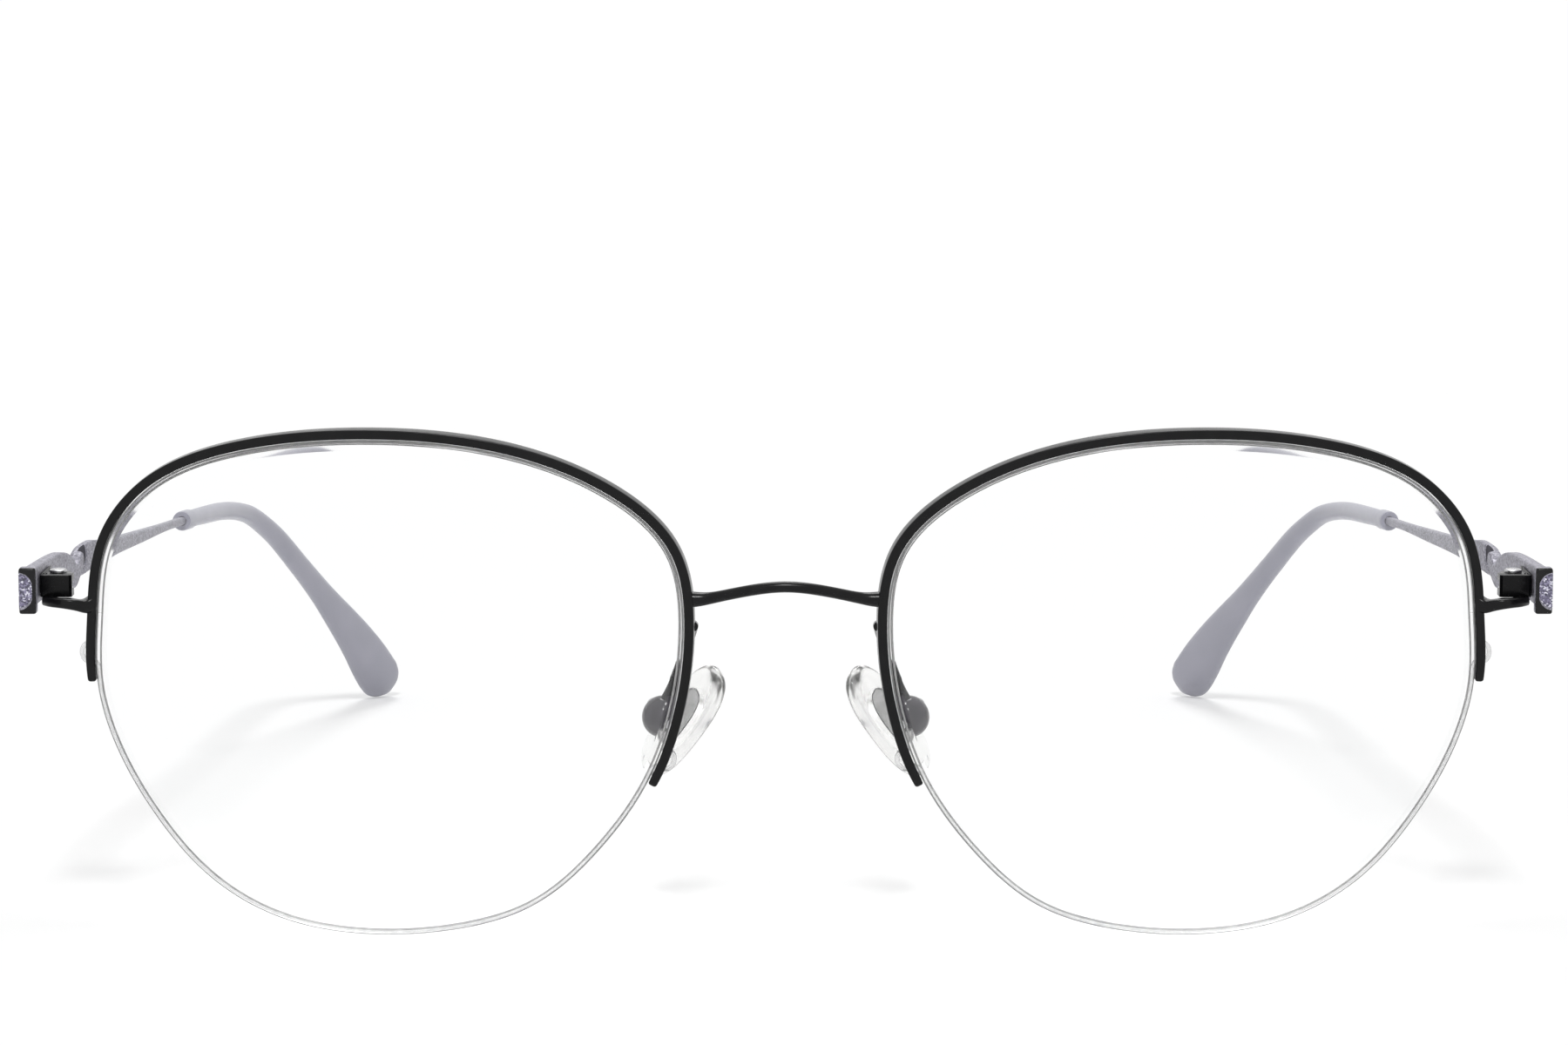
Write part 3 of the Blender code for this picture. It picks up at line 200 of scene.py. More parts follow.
# Temple tip
TIP_BEFORE_BEND = 0.0236
TIP_HALF_WIDTH = 0.00255
TIP_HALF_THICKNESS = 0.0011
TIP_TWIST = math.radians(35)
TIP_BORE_RADIUS = 0.00050
TIP_BORE_SHARE = 0.80
TIP_CORE_SHARE = 0.78
TIP_SIDES = 36
TIP_STEPS = 150
TIP_SHARES = (
    (0.0, 0.37, 0.86), (0.006, 0.40, 0.92), (0.046, 0.40, 0.92), (0.049, 0.34, 0.84), (0.16, 0.36, 0.86),
    (0.28, 0.37, 0.87), (0.40, 0.38, 0.88), (0.50, 0.42, 0.94), (0.58, 0.45, 0.96), (0.66, 0.48, 0.95),
    (0.73, 0.55, 0.95), (0.80, 0.70, 0.98), (0.87, 0.86, 1.0), (0.925, 0.97, 1.0), (0.955, 0.99, 0.97),
    (0.975, 0.90, 0.86), (0.99, 0.66, 0.64), (1.0, 0.26, 0.28))

# Nose pads, housings and arms
PAD_SPACING = 0.0188
PAD_BEHIND_LENS = 0.0098
PAD_BELOW_MIDDLE = 0.0040
PAD_LENGTH = 0.0122
PAD_WIDTH = 0.0056
PAD_THICKNESS = 0.0020
PAD_BLUNTNESS = 2.6
PAD_SPLAY = math.radians(40)
PAD_DIP = math.radians(19)
PAD_LEAN = math.radians(53)
PAD_SIDES = 64
PAD_POCKET_SHARE = 0.58
PAD_PROFILE_SHARES = ((0.80, -0.42), (0.96, -0.22), (1.0, 0.0), (0.94, 0.26), (0.74, 0.45), (0.40, 0.56))
PAD_POCKET_FLOOR_SHARE = 0.06
CORE_GAP = 0.00008
CORE_STUB_RADIUS = 0.00070
CORE_STUB_LENGTH = 0.00260
CUP_RADIUS = 0.0019
CUP_RIM_DEPTH = 0.00215
CUP_FLOOR_DEPTH = 0.00375
CUP_BACK_DEPTH = 0.00435
CUP_BORE_RADIUS = 0.0013
CUP_SIDES = 48
CUP_STEPS = 14
CUP_BALL_SHARE = 0.75
PAD_SCREW_HEAD_RADIUS = 0.000525
PAD_SCREW_PROUD = 0.00015
PAD_AXIS_DEPTH = 0.00285
ARM_HEIGHT = 0.0057
ARM_RADIUS = 0.00048
ARM_END_RADIUS = 0.00062
ARM_BESIDE_LENS = 0.0007
ARM_SHARES = ((0.0, 0.0, 0.0), (0.0, 0.02, 0.30), (0.06, 0.12, 0.62), (0.27, 0.37, 0.88), (0.63, 0.757, 1.0),
              (1.0, 1.0, 1.0))
ARM_STEPS = 72

EDGE_EASE = 0.00007
FLOOR_SIZE = 8.0
FLOOR_TONE = 0.80
FLOOR_GLOW = 0.23
ROOM_LIGHT = 0.40
LAMP_STRENGTH = 1.10


def smooth_tangents(knots, step, slope, closed):
    """Tangents that turn a line through the knots into one whose bends change evenly."""
    count = len(knots)
    system = np.zeros((count, count))
    wanted = np.zeros_like(knots)
    for i in range(count):
        if not closed and i in (0, count - 1):
            system[i, i] = 2
            system[i, 1 if i == 0 else count - 2] = 1
            wanted[i] = 3 * slope[min(i, count - 2)]
            continue
        before = step[i - 1]
        after = step[i]
        system[i, i - 1] += after
        system[i, i] += 2 * (before + after)
        system[i, (i + 1) % count] += before
        wanted[i] = 3 * (after * slope[i - 1] + before * slope[i])
    return np.linalg.solve(system, wanted)


def steady_tangents(knots, slope):
    """Tangents of a line that never swings past its knots in any column."""
    tangents = np.zeros_like(knots)
    tangents[0], tangents[-1] = slope[0], slope[-1]
    for i in range(1, len(knots) - 1):
        before, after = slope[i - 1], slope[i]
        same_way = before * after > 0
        total = np.where(same_way, before + after, 1)
        tangents[i] = np.where(same_way, 2 * before * after / total, 0)
    return tangents


def spline(points, space, closed=False, steady=False):
    """A fine line through points in space, whose further columns never swing past their values."""
    knots = np.array(points, dtype=float)
    count = len(knots)
    spans = count if closed else count - 1
    step = [np.linalg.norm(knots[(i + 1) % count, :space] - knots[i, :space]) for i in range(spans)]
    slope = [(knots[(i + 1) % count] - knots[i]) / step[i] for i in range(spans)]
    if steady:
        tangents = steady_tangents(knots, slope)
    else:
        tangents = smooth_tangents(knots, step, slope, closed)
        if len(knots[0]) > space:
            tangents[:, space:] = steady_tangents(knots, slope)[:, space:]
    line = []
    for i in range(spans):
        start, end = knots[i], knots[(i + 1) % count]
        leave, arrive = tangents[i] * step[i], tangents[(i + 1) % count] * step[i]
        for j in range(CURVE_STEPS):
            t = j / CURVE_STEPS
            a = 2 * t ** 3 - 3 * t ** 2 + 1
            b = t ** 3 - 2 * t ** 2 + t
            c = 3 * t ** 2 - 2 * t ** 3
            d = t ** 3 - t ** 2
            line.append(a * start + b * leave + c * end + d * arrive)
    if not closed:
        line.append(knots[-1])
    return np.array(line)


def lengths_along(line, space):
    """How far along the line each of its points lies."""
    steps = np.linalg.norm(np.diff(line[:, :space], axis=0), axis=1)
    return np.concatenate(([0.0], np.cumsum(steps)))


def at_shares(line, space, shares):
    """Points of the line at shares of its length."""
    reach = lengths_along(line, space)
    places = np.array(shares) * reach[-1]
    return np.stack([np.interp(places, reach, column) for column in line.T], axis=1)


def even(count, first=0.0, last=1.0):
    """Evenly spaced shares with both ends."""
    return [first + (last - first) * i / count for i in range(count + 1)]


def placed(name, data):
    """A mesh, lamp or camera put into the scene."""
    thing = bpy.data.objects.new(name, data)
    bpy.context.collection.objects.link(thing)
    return thing


def mesh_object(name, form, angle=35):
    """An object from a bmesh, with its faces pointing out and its soft edges shaded smooth."""
    bmesh.ops.recalc_face_normals(form, faces=form.faces)
    mesh = bpy.data.meshes.new(name)
    form.to_mesh(mesh)
    form.free()
    mesh.shade_smooth()
    mesh.set_sharp_from_angle(angle=math.radians(angle))
    return placed(name, mesh)


def skin(name, rings, side=1, angle=35, tag=None, first_cap=0):
    """One closed body skinned over rings of points; tag gives a face its material by ring and point."""
    form = bmesh.new()
    loops = [[form.verts.new((side * p[0], p[1] - MIDDLE_Y, p[2])) for p in ring] for ring in rings]
    count = len(loops[0])
    for number, (first, second) in enumerate(zip(loops, loops[1:])):
        for i in range(count):
            j = (i + 1) % count
            face = form.faces.new((first[i], first[j], second[j], second[i]))
            face.material_index = tag(number, i) if tag else 0
    form.faces.new(loops[0]).material_index = first_cap
    form.faces.new(loops[-1])
    return mesh_object(name, form, angle)


def cut(thing, cutter):
    """Take the cutter's shape out of the piece at once, and put the cutter away."""
    change = thing.modifiers.new("cut", "BOOLEAN")
    change.operation = "DIFFERENCE"
    change.solver = "EXACT"
    change.object = cutter
    bpy.context.view_layer.update()
    cut_mesh = bpy.data.meshes.new_from_object(thing.evaluated_get(bpy.context.evaluated_depsgraph_get()))
    thing.modifiers.clear()
    thing.data = cut_mesh
    bpy.data.objects.remove(cutter, do_unlink=True)


def eased(name, node, width):
    """The node's own form with its flat faces made whole and its edges broken by a small round."""
    form = bmesh.new()
    form.from_mesh(frame["nodes"][node].data)
    bmesh.ops.remove_doubles(form, verts=form.verts, dist=width / 100)
    bmesh.ops.dissolve_limit(form, angle_limit=math.radians(1), verts=form.verts, edges=form.edges)
    sharp = [e for e in form.edges if e.is_manifold and e.calc_face_angle() > math.radians(30)]
    bmesh.ops.bevel(form, geom=sharp, offset=width, segments=3, profile=0.5, affect="EDGES", clamp_overlap=True)
    return mesh_object(name, form, 40)


def circle(centre, first, second, radius, sides, other_radius=None):
    """A ring of points round a centre, in the plane of two unit directions."""
    far = radius if other_radius is None else other_radius
    turns = [math.tau * (i + 0.5) / sides for i in range(sides)]
    return [centre + first * (radius * math.cos(t)) + second * (far * math.sin(t)) for t in turns]


def across(direction):
    """Two unit directions square to the given one: level, and the steepest."""
    level = direction.cross(Vector((0, 0, 1))).normalized()
    return level, level.cross(direction).normalized()


def rod(start, end, radius, sides):
    """Rings of a straight round bar."""
    level, steep = across((end - start).normalized())
    return [circle(start, level, steep, radius, sides), circle(end, level, steep, radius, sides)]


def run_at(points, index):
    """From the point before to the point after, or from or to the end itself."""
    return points[min(index + 1, len(points) - 1)] - points[max(index - 1, 0)]


def tube(line, radii, sides):
    """Rings of a bent wire, one at each point of the line."""
    rings = []
    points = [Vector(p) for p in line]
    for i, point in enumerate(points):
        level, steep = across(run_at(points, i).normalized())
        rings.append(circle(point, level, steep, radii[i], sides))
    return rings


def rounded(corners, radius, steps=4, ends=None):
    """An outline whose corners are rounded; ends gives the places before and after an open one."""
    outline = []
    before_all, after_all = ends if ends else (corners[-1], corners[0])
    for i, place in enumerate(corners):
        corner = np.array(place, dtype=float)
        before = np.array(corners[i - 1] if i else before_all) - corner
        after = np.array(corners[i + 1] if i + 1 < len(corners) else after_all) - corner
        start = corner + before / np.linalg.norm(before) * radius
        end = corner + after / np.linalg.norm(after) * radius
        for j in range(steps + 1):
            t = j / steps
            outline.append(tuple((1 - t) ** 2 * start + 2 * t * (1 - t) * corner + t ** 2 * end))
    return outline


def fitted_outline():
    """The lens outline as a fine line, stretched to fill its box exactly."""
    line = spline(LENS_OUTLINE_SHARES, 2, closed=True)
    low, high = line.min(axis=0), line.max(axis=0)
    return (line - (low + high) / 2) / (high - low) * (LENS_WIDTH, LENS_HEIGHT)


OUTLINE = fitted_outline()
SPLIT = RIM_END_SHARE_INDEX * CURVE_STEPS
OVER_LINE = OUTLINE[:SPLIT + 1]
OVER = at_shares(OVER_LINE, 2, even(OVER_STEPS))
UNDER = at_shares(np.concatenate((OUTLINE[SPLIT:], OUTLINE[:1])), 2, even(UNDER_STEPS))
EDGE = np.concatenate((OVER, UNDER[1:-1]))
OVER_REACH = lengths_along(OVER, 2)


def outward(line, index, closed):
    """The line's outward unit direction at one of its points, in the lens's own plane."""
    last = len(line) - 1
    ahead = line[(index + 1) % len(line)] if closed else line[min(index + 1, last)]
    behind = line[index - 1] if closed else line[max(index - 1, 0)]
    run = ahead - behind
    return np.array((run[1], -run[0])) / np.linalg.norm(run)


EDGE_OUTWARD = np.array([outward(EDGE, i, True) for i in range(len(EDGE))])
LENS_TURN = Matrix.Rotation(FACE_FORM, 3, "Z") @ Matrix.Rotation(FRONT_TILT, 3, "X")
LENS_CENTRE = Vector((0, 0, 0))


def sag(u, v):
    """How far the lens's curved surface falls behind its foremost point."""
    return LENS_CURVE_RADIUS - math.sqrt(LENS_CURVE_RADIUS ** 2 - u * u - v * v)


def on_lens(u, v, depth):
    """A place in the lens's own plane, at a depth behind its curved front surface."""
    return LENS_CENTRE + LENS_TURN @ Vector((u, sag(u, v) + depth, v))


def off_edge(point, direction, out, depth):
    """A place outside the lens's edge by out, and behind its middle by depth."""
    u, v = point
    back = sag(u, v) + LENS_THICKNESS / 2 + depth
    return LENS_CENTRE + LENS_TURN @ Vector((u + out * direction[0], back, v + out * direction[1]))


# The front edge round the lens's middle, before the middle has its place
FRONT_EDGE = [off_edge(p, n, 0, -LENS_THICKNESS / 2) for p, n in zip(EDGE, EDGE_OUTWARD)]
LENS_CENTRE.x = LENS_SPACING / 2 - min(place.x for place in FRONT_EDGE)
LENS_CENTRE.z = -min(place.z for place in FRONT_EDGE)
NOSE_EDGE = LENS_CENTRE + min(FRONT_EDGE, key=lambda place: place.x)
TEMPLE_EDGE = LENS_CENTRE + max(FRONT_EDGE, key=lambda place: place.x)

# Places that the frame gives: the hinge pin, and how far Y lies behind the lenses' foremost points
FOLD = next(joint for joint in frame["joints"] if joint["name"] == "temple_right_fold")
PIN_X, PIN_BACK, BARREL_BOTTOM = FOLD["pos_m"]
PIN_Y = TEMPLE_EDGE.y + PIN_BEHIND_LENS
MIDDLE_Y = PIN_Y - PIN_BACK
LEAF_FRONT_Y = PIN_Y - LEAF_FRONT_REACH
TEMPLE_OUTER_X = PIN_X + TEMPLE_BESIDE_PIN
TEMPLE_FRONT_Y = PIN_Y - TEMPLE_BEFORE_PIN
TEMPLE_FRONT_Z = BARREL_BOTTOM + BARREL_HEIGHT / 2 + TEMPLE_ABOVE_HINGE
BEND_OUTER_X = TEMPLE_OUTER_X - TEMPLE_INWARD
BEND_Y = TEMPLE_FRONT_Y + TEMPLE_RUN
BEND_Z = TEMPLE_FRONT_Z - TEMPLE_DROP


def edge_at_height(height, nasal, out, depth):
    """A place on the rim's line at a height above the lens's middle, on its nose or temple side."""
    half = [p for p in OVER_LINE if (p[0] < 0) == nasal]
    index = min(range(1, len(half) - 1), key=lambda i: abs(half[i][1] - height))
    return off_edge(half[index], outward(half, index, False), out, depth)


def over_at(reach):
    """The place on the lens's edge at a length along the rim, and the outward direction there."""
    def at(length):
        length = min(max(length, 0), OVER_REACH[-1])
        return np.array([np.interp(length, OVER_REACH, column) for column in OVER.T])

    step = OVER_REACH[-1] / OVER_STEPS
    run = at(reach + step) - at(reach - step)
    return at(reach), np.array((run[1], -run[0])) / np.linalg.norm(run)


def over_place(reach, out, depth=0):
    """A place off the lens's edge at a length along the rim."""
    return off_edge(*over_at(reach), out, depth)


def over_rings(reaches, section):
    """Rings of a cross-section carried along the rim's line."""
    return [[over_place(reach, out, depth) for out, depth in section(reach)] for reach in reaches]


def lens(name, side):
    """A curved lens with a bevelled front edge and a groove all round."""
    half = LENS_THICKNESS / 2
    chamfer, inner = EDGE_CHAMFER, GROOVE_FLOOR_ROUNDING - GROOVE_DEPTH
    # The fine facets, at the bevel's foot and at the groove floor's corners, take a dark grey finish: painted
    # shade lines along the lens's edge
    clear, ground, fine, satin = range(4)
    section = [(-BEVEL_WIDTH - BEVEL_MARGIN, -half, clear), (-BEVEL_WIDTH, -half, satin),
               (-chamfer, BEVEL_DEPTH - half, fine), (0, BEVEL_DEPTH + chamfer - half, ground),
               (0, -GROOVE_HALF_WIDTH, satin), (inner, -GROOVE_FLOOR_HALF_WIDTH, fine),
               (-GROOVE_DEPTH, -GROOVE_FLOOR_HALF_WIDTH / 2, satin),
               (-GROOVE_DEPTH, GROOVE_FLOOR_HALF_WIDTH / 2, fine), (inner, GROOVE_FLOOR_HALF_WIDTH, satin),
               (0, GROOVE_HALF_WIDTH, ground), (0, half - chamfer, ground), (-chamfer, half, clear),
               (-chamfer * 3, half, clear), (-BEVEL_WIDTH, half, clear),
               (-BEVEL_WIDTH - BEVEL_MARGIN, half, clear)]
    shares = [number / LENS_RINGS for number in range(1, LENS_RINGS)]
    rings = [[on_lens(u * share, v * share, 0) for u, v in EDGE] for share in shares]
    for out, depth, _ in section:
        if abs(depth) == half:
            rings.append([on_lens(*(p + out * n), half + depth) for p, n in zip(EDGE, EDGE_OUTWARD)])
        else:
            rings.append([off_edge(p, n, out, depth) for p, n in zip(EDGE, EDGE_OUTWARD)])
    rings += [[on_lens(u * share, v * share, LENS_THICKNESS) for u, v in EDGE] for share in shares[::-1]]
    kinds = [clear] * len(shares) + [kind for *_, kind in section] + [clear] * len(shares)
    return skin(name, rings, side, 12, lambda ring, point: kinds[ring])


def rim_section(reach):
    """The channel's cross-section, thinner and rounded off towards the rim's two ends."""
    from_end = min(reach, OVER_REACH[-1] - reach)
    share = min(1, from_end / RIM_END_TAPER)
    outer = RIM_FIT + RIM_END_THICKNESS + (RIM_THICKNESS - RIM_END_THICKNESS) * share
    half = RIM_DEPTH / 2
    floor = RIM_FIT + CHANNEL_DEPTH
    wide = CHANNEL_HALF_WIDTH
    section = rounded([(outer, -half), (outer, half)], RIM_ROUNDING, 6, ((RIM_FIT, -half), (RIM_FIT, half)))
    section += rounded([(RIM_FIT, half)], RIM_FIT, 3, ((outer, half), (RIM_FIT, wide)))
    section += [(RIM_FIT, wide), (floor, wide), (floor, -wide), (RIM_FIT, -wide)]
    section += rounded([(RIM_FIT, -half)], RIM_FIT, 3, ((RIM_FIT, -wide), (outer, -half)))
    left = max(0, 1 - from_end / RIM_END_ROUNDING)
    shy = RIM_END_ROUNDING * (1 - math.sqrt(1 - left * left))
    middle = (RIM_FIT + outer) / 2
    thin, deep = 1 - shy / (outer - middle), 1 - shy / half
    return [(middle + (out - middle) * thin, depth * deep) for out, depth in section]


def cord_hole_places():
    """Where the cord passes through the rim: two places near each end, as lengths along it."""
    near, far = CORD_HOLE_FROM_END, CORD_HOLE_FROM_END + CORD_HOLE_SPACING
    return (near, far), (OVER_REACH[-1] - near, OVER_REACH[-1] - far)


def rim(name, side):
    """The channel-shaped eyewire, with the cord's four holes."""
    end = [RIM_END_ROUNDING * share for share in (0.0, 0.04, 0.15, 0.32, 0.55, 0.8)]
    length = OVER_REACH[-1]
    reaches = end + [length * share for share in even(OVER_STEPS)[1:-1]]
    reaches += [length - reach for reach in end[::-1]]
    made = skin(name, over_rings(reaches, rim_section), side, 30)
    for places in cord_hole_places():
        for reach in places:
            ends = over_place(reach, RIM_FIT), over_place(reach, 2 * RIM_THICKNESS)
            cut(made, skin("drill", rod(*ends, CORD_HOLE_RADIUS, WIRE_SIDES), side))
    return made


def liner(name, side):
    """The nylon liner: a head in the rim's channel and a stem in the lens's groove."""
    head_top = RIM_FIT + CHANNEL_DEPTH - LINER_GAP
    head_low = RIM_FIT + LINER_GAP
    head = CHANNEL_HALF_WIDTH - LINER_GAP
    stem = LINER_STEM_HALF_WIDTH
    section = [(-LINER_STEM_REACH, -stem), (head_low, -stem), (head_low, -head), (head_top, -head),
               (head_top, head), (head_low, head), (head_low, stem), (-LINER_STEM_REACH, stem)]
    shares = even(OVER_STEPS)[LINER_SET_BACK:OVER_STEPS + 1 - LINER_SET_BACK]
    reaches = [OVER_REACH[-1] * share for share in shares]
    return skin(name, over_rings(reaches, lambda reach: section), side)


def lens_cord(name, side):
    """The cord: in the groove under the lens, then out and back through both rim ends."""
    in_groove = CORD_RADIUS + CORD_FLOOR_GAP - GROOVE_DEPTH
    outside = RIM_FIT + RIM_THICKNESS + CORD_RADIUS + CORD_OUTSIDE_GAP
    turn = CORD_RADIUS

    def loop(places):
        near, far = places
        way = 1 if far > near else -1
        inside = RIM_FIT + CHANNEL_DEPTH / 2
        return [over_place(near - way * 3 * turn, in_groove), over_place(near - way * turn, in_groove + turn),
                over_place(near, inside), over_place(near, outside - turn),
                over_place(near + way * turn, outside), over_place(far - way * turn, outside),
                over_place(far, outside - turn), over_place(far, inside)]

    temple_end, nose_end = cord_hole_places()
    below = [off_edge(EDGE[i % len(EDGE)], EDGE_OUTWARD[i % len(EDGE)], in_groove, 0)
             for i in range(OVER_STEPS, len(EDGE) + 1)]
    route = loop(nose_end)[::-1] + below[::4] + loop(temple_end)
    line = [Vector(p) for p in spline([tuple(p) for p in route], 3)[::4]]
    across_cord = (LENS_TURN @ Vector((0, 1, 0))).normalized()
    rings = []
    for i, point in enumerate(line):
        run = run_at(line, i).normalized()
        out = across_cord.cross(run).normalized()
        rings.append(circle(point, out, run.cross(out).normalized(), CORD_RADIUS, CORD_SIDES))
    return skin(name, rings, side)


def bridge():
    """The wire between the rims: it bows forward and up, and widens at its two soldered feet."""
    foot = edge_at_height(BRIDGE_HEIGHT, True, RIM_THICKNESS / 2, 0)
    half = [(foot.x * (1 - along), foot.y - BRIDGE_BOW * bow, foot.z + BRIDGE_RISE * rise)
            for along, bow, rise in BRIDGE_SHARES]
    whole = half + [(-x, y, z) for x, y, z in half[-2::-1]]
    line = at_shares(spline(whole, 3), 3, even(BRIDGE_STEPS))
    reach = lengths_along(line, 3)
    radii = []
    for here in reach:
        from_end = min(here, reach[-1] - here) / BRIDGE_FOOT_LENGTH
        radii.append(BRIDGE_RADIUS + (BRIDGE_FOOT_RADIUS - BRIDGE_RADIUS) * math.exp(-from_end ** 2))
    return skin("bridge_wire", tube(line, radii, WIRE_SIDES))


def endpiece(name, side):
    """The tapered bar from the rim, whose outer end bends back to the hinge."""
    root = edge_at_height(BAR_HEIGHT_ON_LENS, False, RIM_THICKNESS / 2, 0)
    front = LEAF_FRONT_Y - BAR_BEFORE_LEAF
    end_x = PIN_X + BAR_END_BESIDE_PIN
    end_z = BARREL_BOTTOM - BAR_END_BELOW_BARREL
    corner = end_x - BAR_END_DEPTH
    fillet_rise = (BAR_FILLET_HEIGHT - BAR_ROOT_HEIGHT) / 2
    middle_height = (BAR_ROOT_HEIGHT + BAR_END_HEIGHT) / 2
    line = [(root.x, root.y, root.z + fillet_rise, BAR_ROOT_DEPTH, BAR_FILLET_HEIGHT),
            (root.x + RIM_THICKNESS, (root.y + front) / 2, root.z, BAR_ROOT_DEPTH, BAR_ROOT_HEIGHT),
            ((root.x + corner) / 2, front, (root.z + end_z) / 2, BAR_ROOT_DEPTH, middle_height),
            (corner, front, end_z, BAR_END_DEPTH, BAR_END_HEIGHT),
            (end_x, LEAF_FRONT_Y, end_z, BAR_END_DEPTH, BAR_END_HEIGHT)]
    fine = at_shares(spline(line, 3), 3, even(BAR_STEPS))
    places = [Vector(row[:3]) for row in fine]
    rings = []
    for i, row in enumerate(fine):
        run = run_at(places, i)
        level = Vector((run.y, -run.x, 0)).normalized()
        deep, tall = row[3] / 2, row[4] / 2
        outline = rounded([(deep, -tall), (deep, tall), (-deep, tall), (-deep, -tall)],
                          BAR_ROUNDING_SHARE * tall, 6)
        rings.append([places[i] + level * a + Vector((0, 0, b)) for a, b in outline])
    return skin(name, rings, side)


def temple_line():
    """The line of the temple's outer face, with its thickness and height, from front corner to tip end."""
    rows = []
    for run, inward, drop, thick, tall in RIBBON_SHARES:
        outer = TEMPLE_OUTER_X + (BEND_OUTER_X - TEMPLE_OUTER_X) * inward
        rows.append((outer, TEMPLE_FRONT_Y + (BEND_Y - TEMPLE_FRONT_Y) * run,
                     TEMPLE_FRONT_Z + (BEND_Z - TEMPLE_FRONT_Z) * drop, PLATE_THICKNESS * thick,
                     TAG_HEIGHT * tall))
    bend = rows[-1]
    for run, inward, drop in EAR_SHARES:
        rows.append((bend[0] - EAR_INWARD * inward, BEND_Y + EAR_RUN * run,
                     BEND_Z + (EAR_END_Z - BEND_Z) * drop, bend[3], bend[4]))
    return spline(rows, 3, steady=True)


TEMPLE_LINE = temple_line()
TEMPLE_REACH = lengths_along(TEMPLE_LINE, 3)


def share_at_y(y):
    """The share of the temple's length at which it passes a distance back."""
    return float(np.interp(y, TEMPLE_LINE[:, 1], TEMPLE_REACH / TEMPLE_REACH[-1]))


TIP_START_SHARE = share_at_y(BEND_Y - TIP_BEFORE_BEND)


def temple_places(shares):
    """Places on the temple's outer face, with its direction, thickness and height at each."""
    rows = at_shares(TEMPLE_LINE, 3, shares)
    step = 1 / len(TEMPLE_LINE)
    ahead = at_shares(TEMPLE_LINE, 3, [min(1, s + step) for s in shares])
    behind = at_shares(TEMPLE_LINE, 3, [max(0, s - step) for s in shares])
    return [(Vector(row[:3]), Vector(a[:3] - b[:3]).normalized(), row[3], row[4])
            for row, a, b in zip(rows, ahead, behind)]


def middles(shares):
    """Middles of the temple's sections, with the direction there."""
    return [(outer - across(run)[0] * thickness / 2, run) for outer, run, thickness, _ in temple_places(shares)]


def core_shares():
    """Shares of the temple's length at which the core wire and its bore have their rings."""
    span = (1 - TIP_START_SHARE) * TIP_CORE_SHARE
    return even(CORE_STEPS, TIP_START_SHARE, TIP_START_SHARE + span)


def smooth_step(value):
    """From 0 to 1 with soft ends."""
    value = min(1, max(0, value))
    return value * value * (3 - 2 * value)


SHOULDER_PLACE = share_at_y(TEMPLE_FRONT_Y + TEMPLE_RUN * SHOULDER_SHARE) * TEMPLE_REACH[-1]


def left_of_plate(along):
    """How much of the plate's thickness is left: all, then the groove's, then the rear part's."""
    past = along - SHOULDER_PLACE
    rise = smooth_step((past - GROOVE_RUN) / SHOULDER_EDGE)
    back = smooth_step((past - GROOVE_RUN) / BEHIND_RUN)
    behind = GROOVE_SHARE + (BEHIND_SHARE - GROOVE_SHARE) * rise
    behind += (1 - behind) * back
    return 1 - (1 - behind) * smooth_step(past / SHOULDER_EDGE)


def arc_shift(along, height_share):
    """How far a point of the inner face is moved along, so that the thick part ends in an arc."""
    down = (1 - height_share) / 2
    near = 1 - smooth_step((abs(along - SHOULDER_PLACE) - GROOVE_RUN) / SHOULDER_SPAN)
    return near * (SHOULDER_LIFT * down - SHOULDER_HOOK * down ** 3)


def plate_section(thickness, height, radius, shy, kept):
    """The temple's cross-section from its outer face, with many points on its inner face."""
    half, face, back = height / 2 - shy, -shy, -(thickness * kept - shy)
    radius = min(radius, 0.45 * (face - back), 0.9 * half)
    section = rounded([(face, -half), (face, half), (back, half)], radius, ARC_STEPS,
                      ((back, -half), (back, -half)))
    flat = half - radius
    section += [(back, flat - 2 * flat * i / FACE_STEPS) for i in range(1, FACE_STEPS)]
    return section + rounded([(back, -half)], radius, ARC_STEPS, ((back, half), (face, -half)))


def temple_rings(shares):
    """Rings of the plate, ribbon and rod."""
    rings = []
    corner = CORNER_ROUNDING / TEMPLE_REACH[-1]
    for share, (outer, run, thickness, height) in zip(shares, temple_places(shares)):
        level, steep = across(run)
        left = max(0, 1 - share / corner)
        shy = CORNER_ROUNDING * (1 - math.sqrt(1 - left * left))
        radius = PLATE_ROUNDING + (ROD_ROUNDING - PLATE_ROUNDING) * smooth_step((share - 0.25) / 0.2)
        along = share * TEMPLE_REACH[-1]
        ring = []
        for a, b in plate_section(thickness, height, radius, shy, left_of_plate(along)):
            shift = arc_shift(along, 2 * b / height) * min(1, -a / thickness / GROOVE_SHARE)
            ring.append(outer + level * a + steep * b + run * shift)
        rings.append(ring)
    return rings


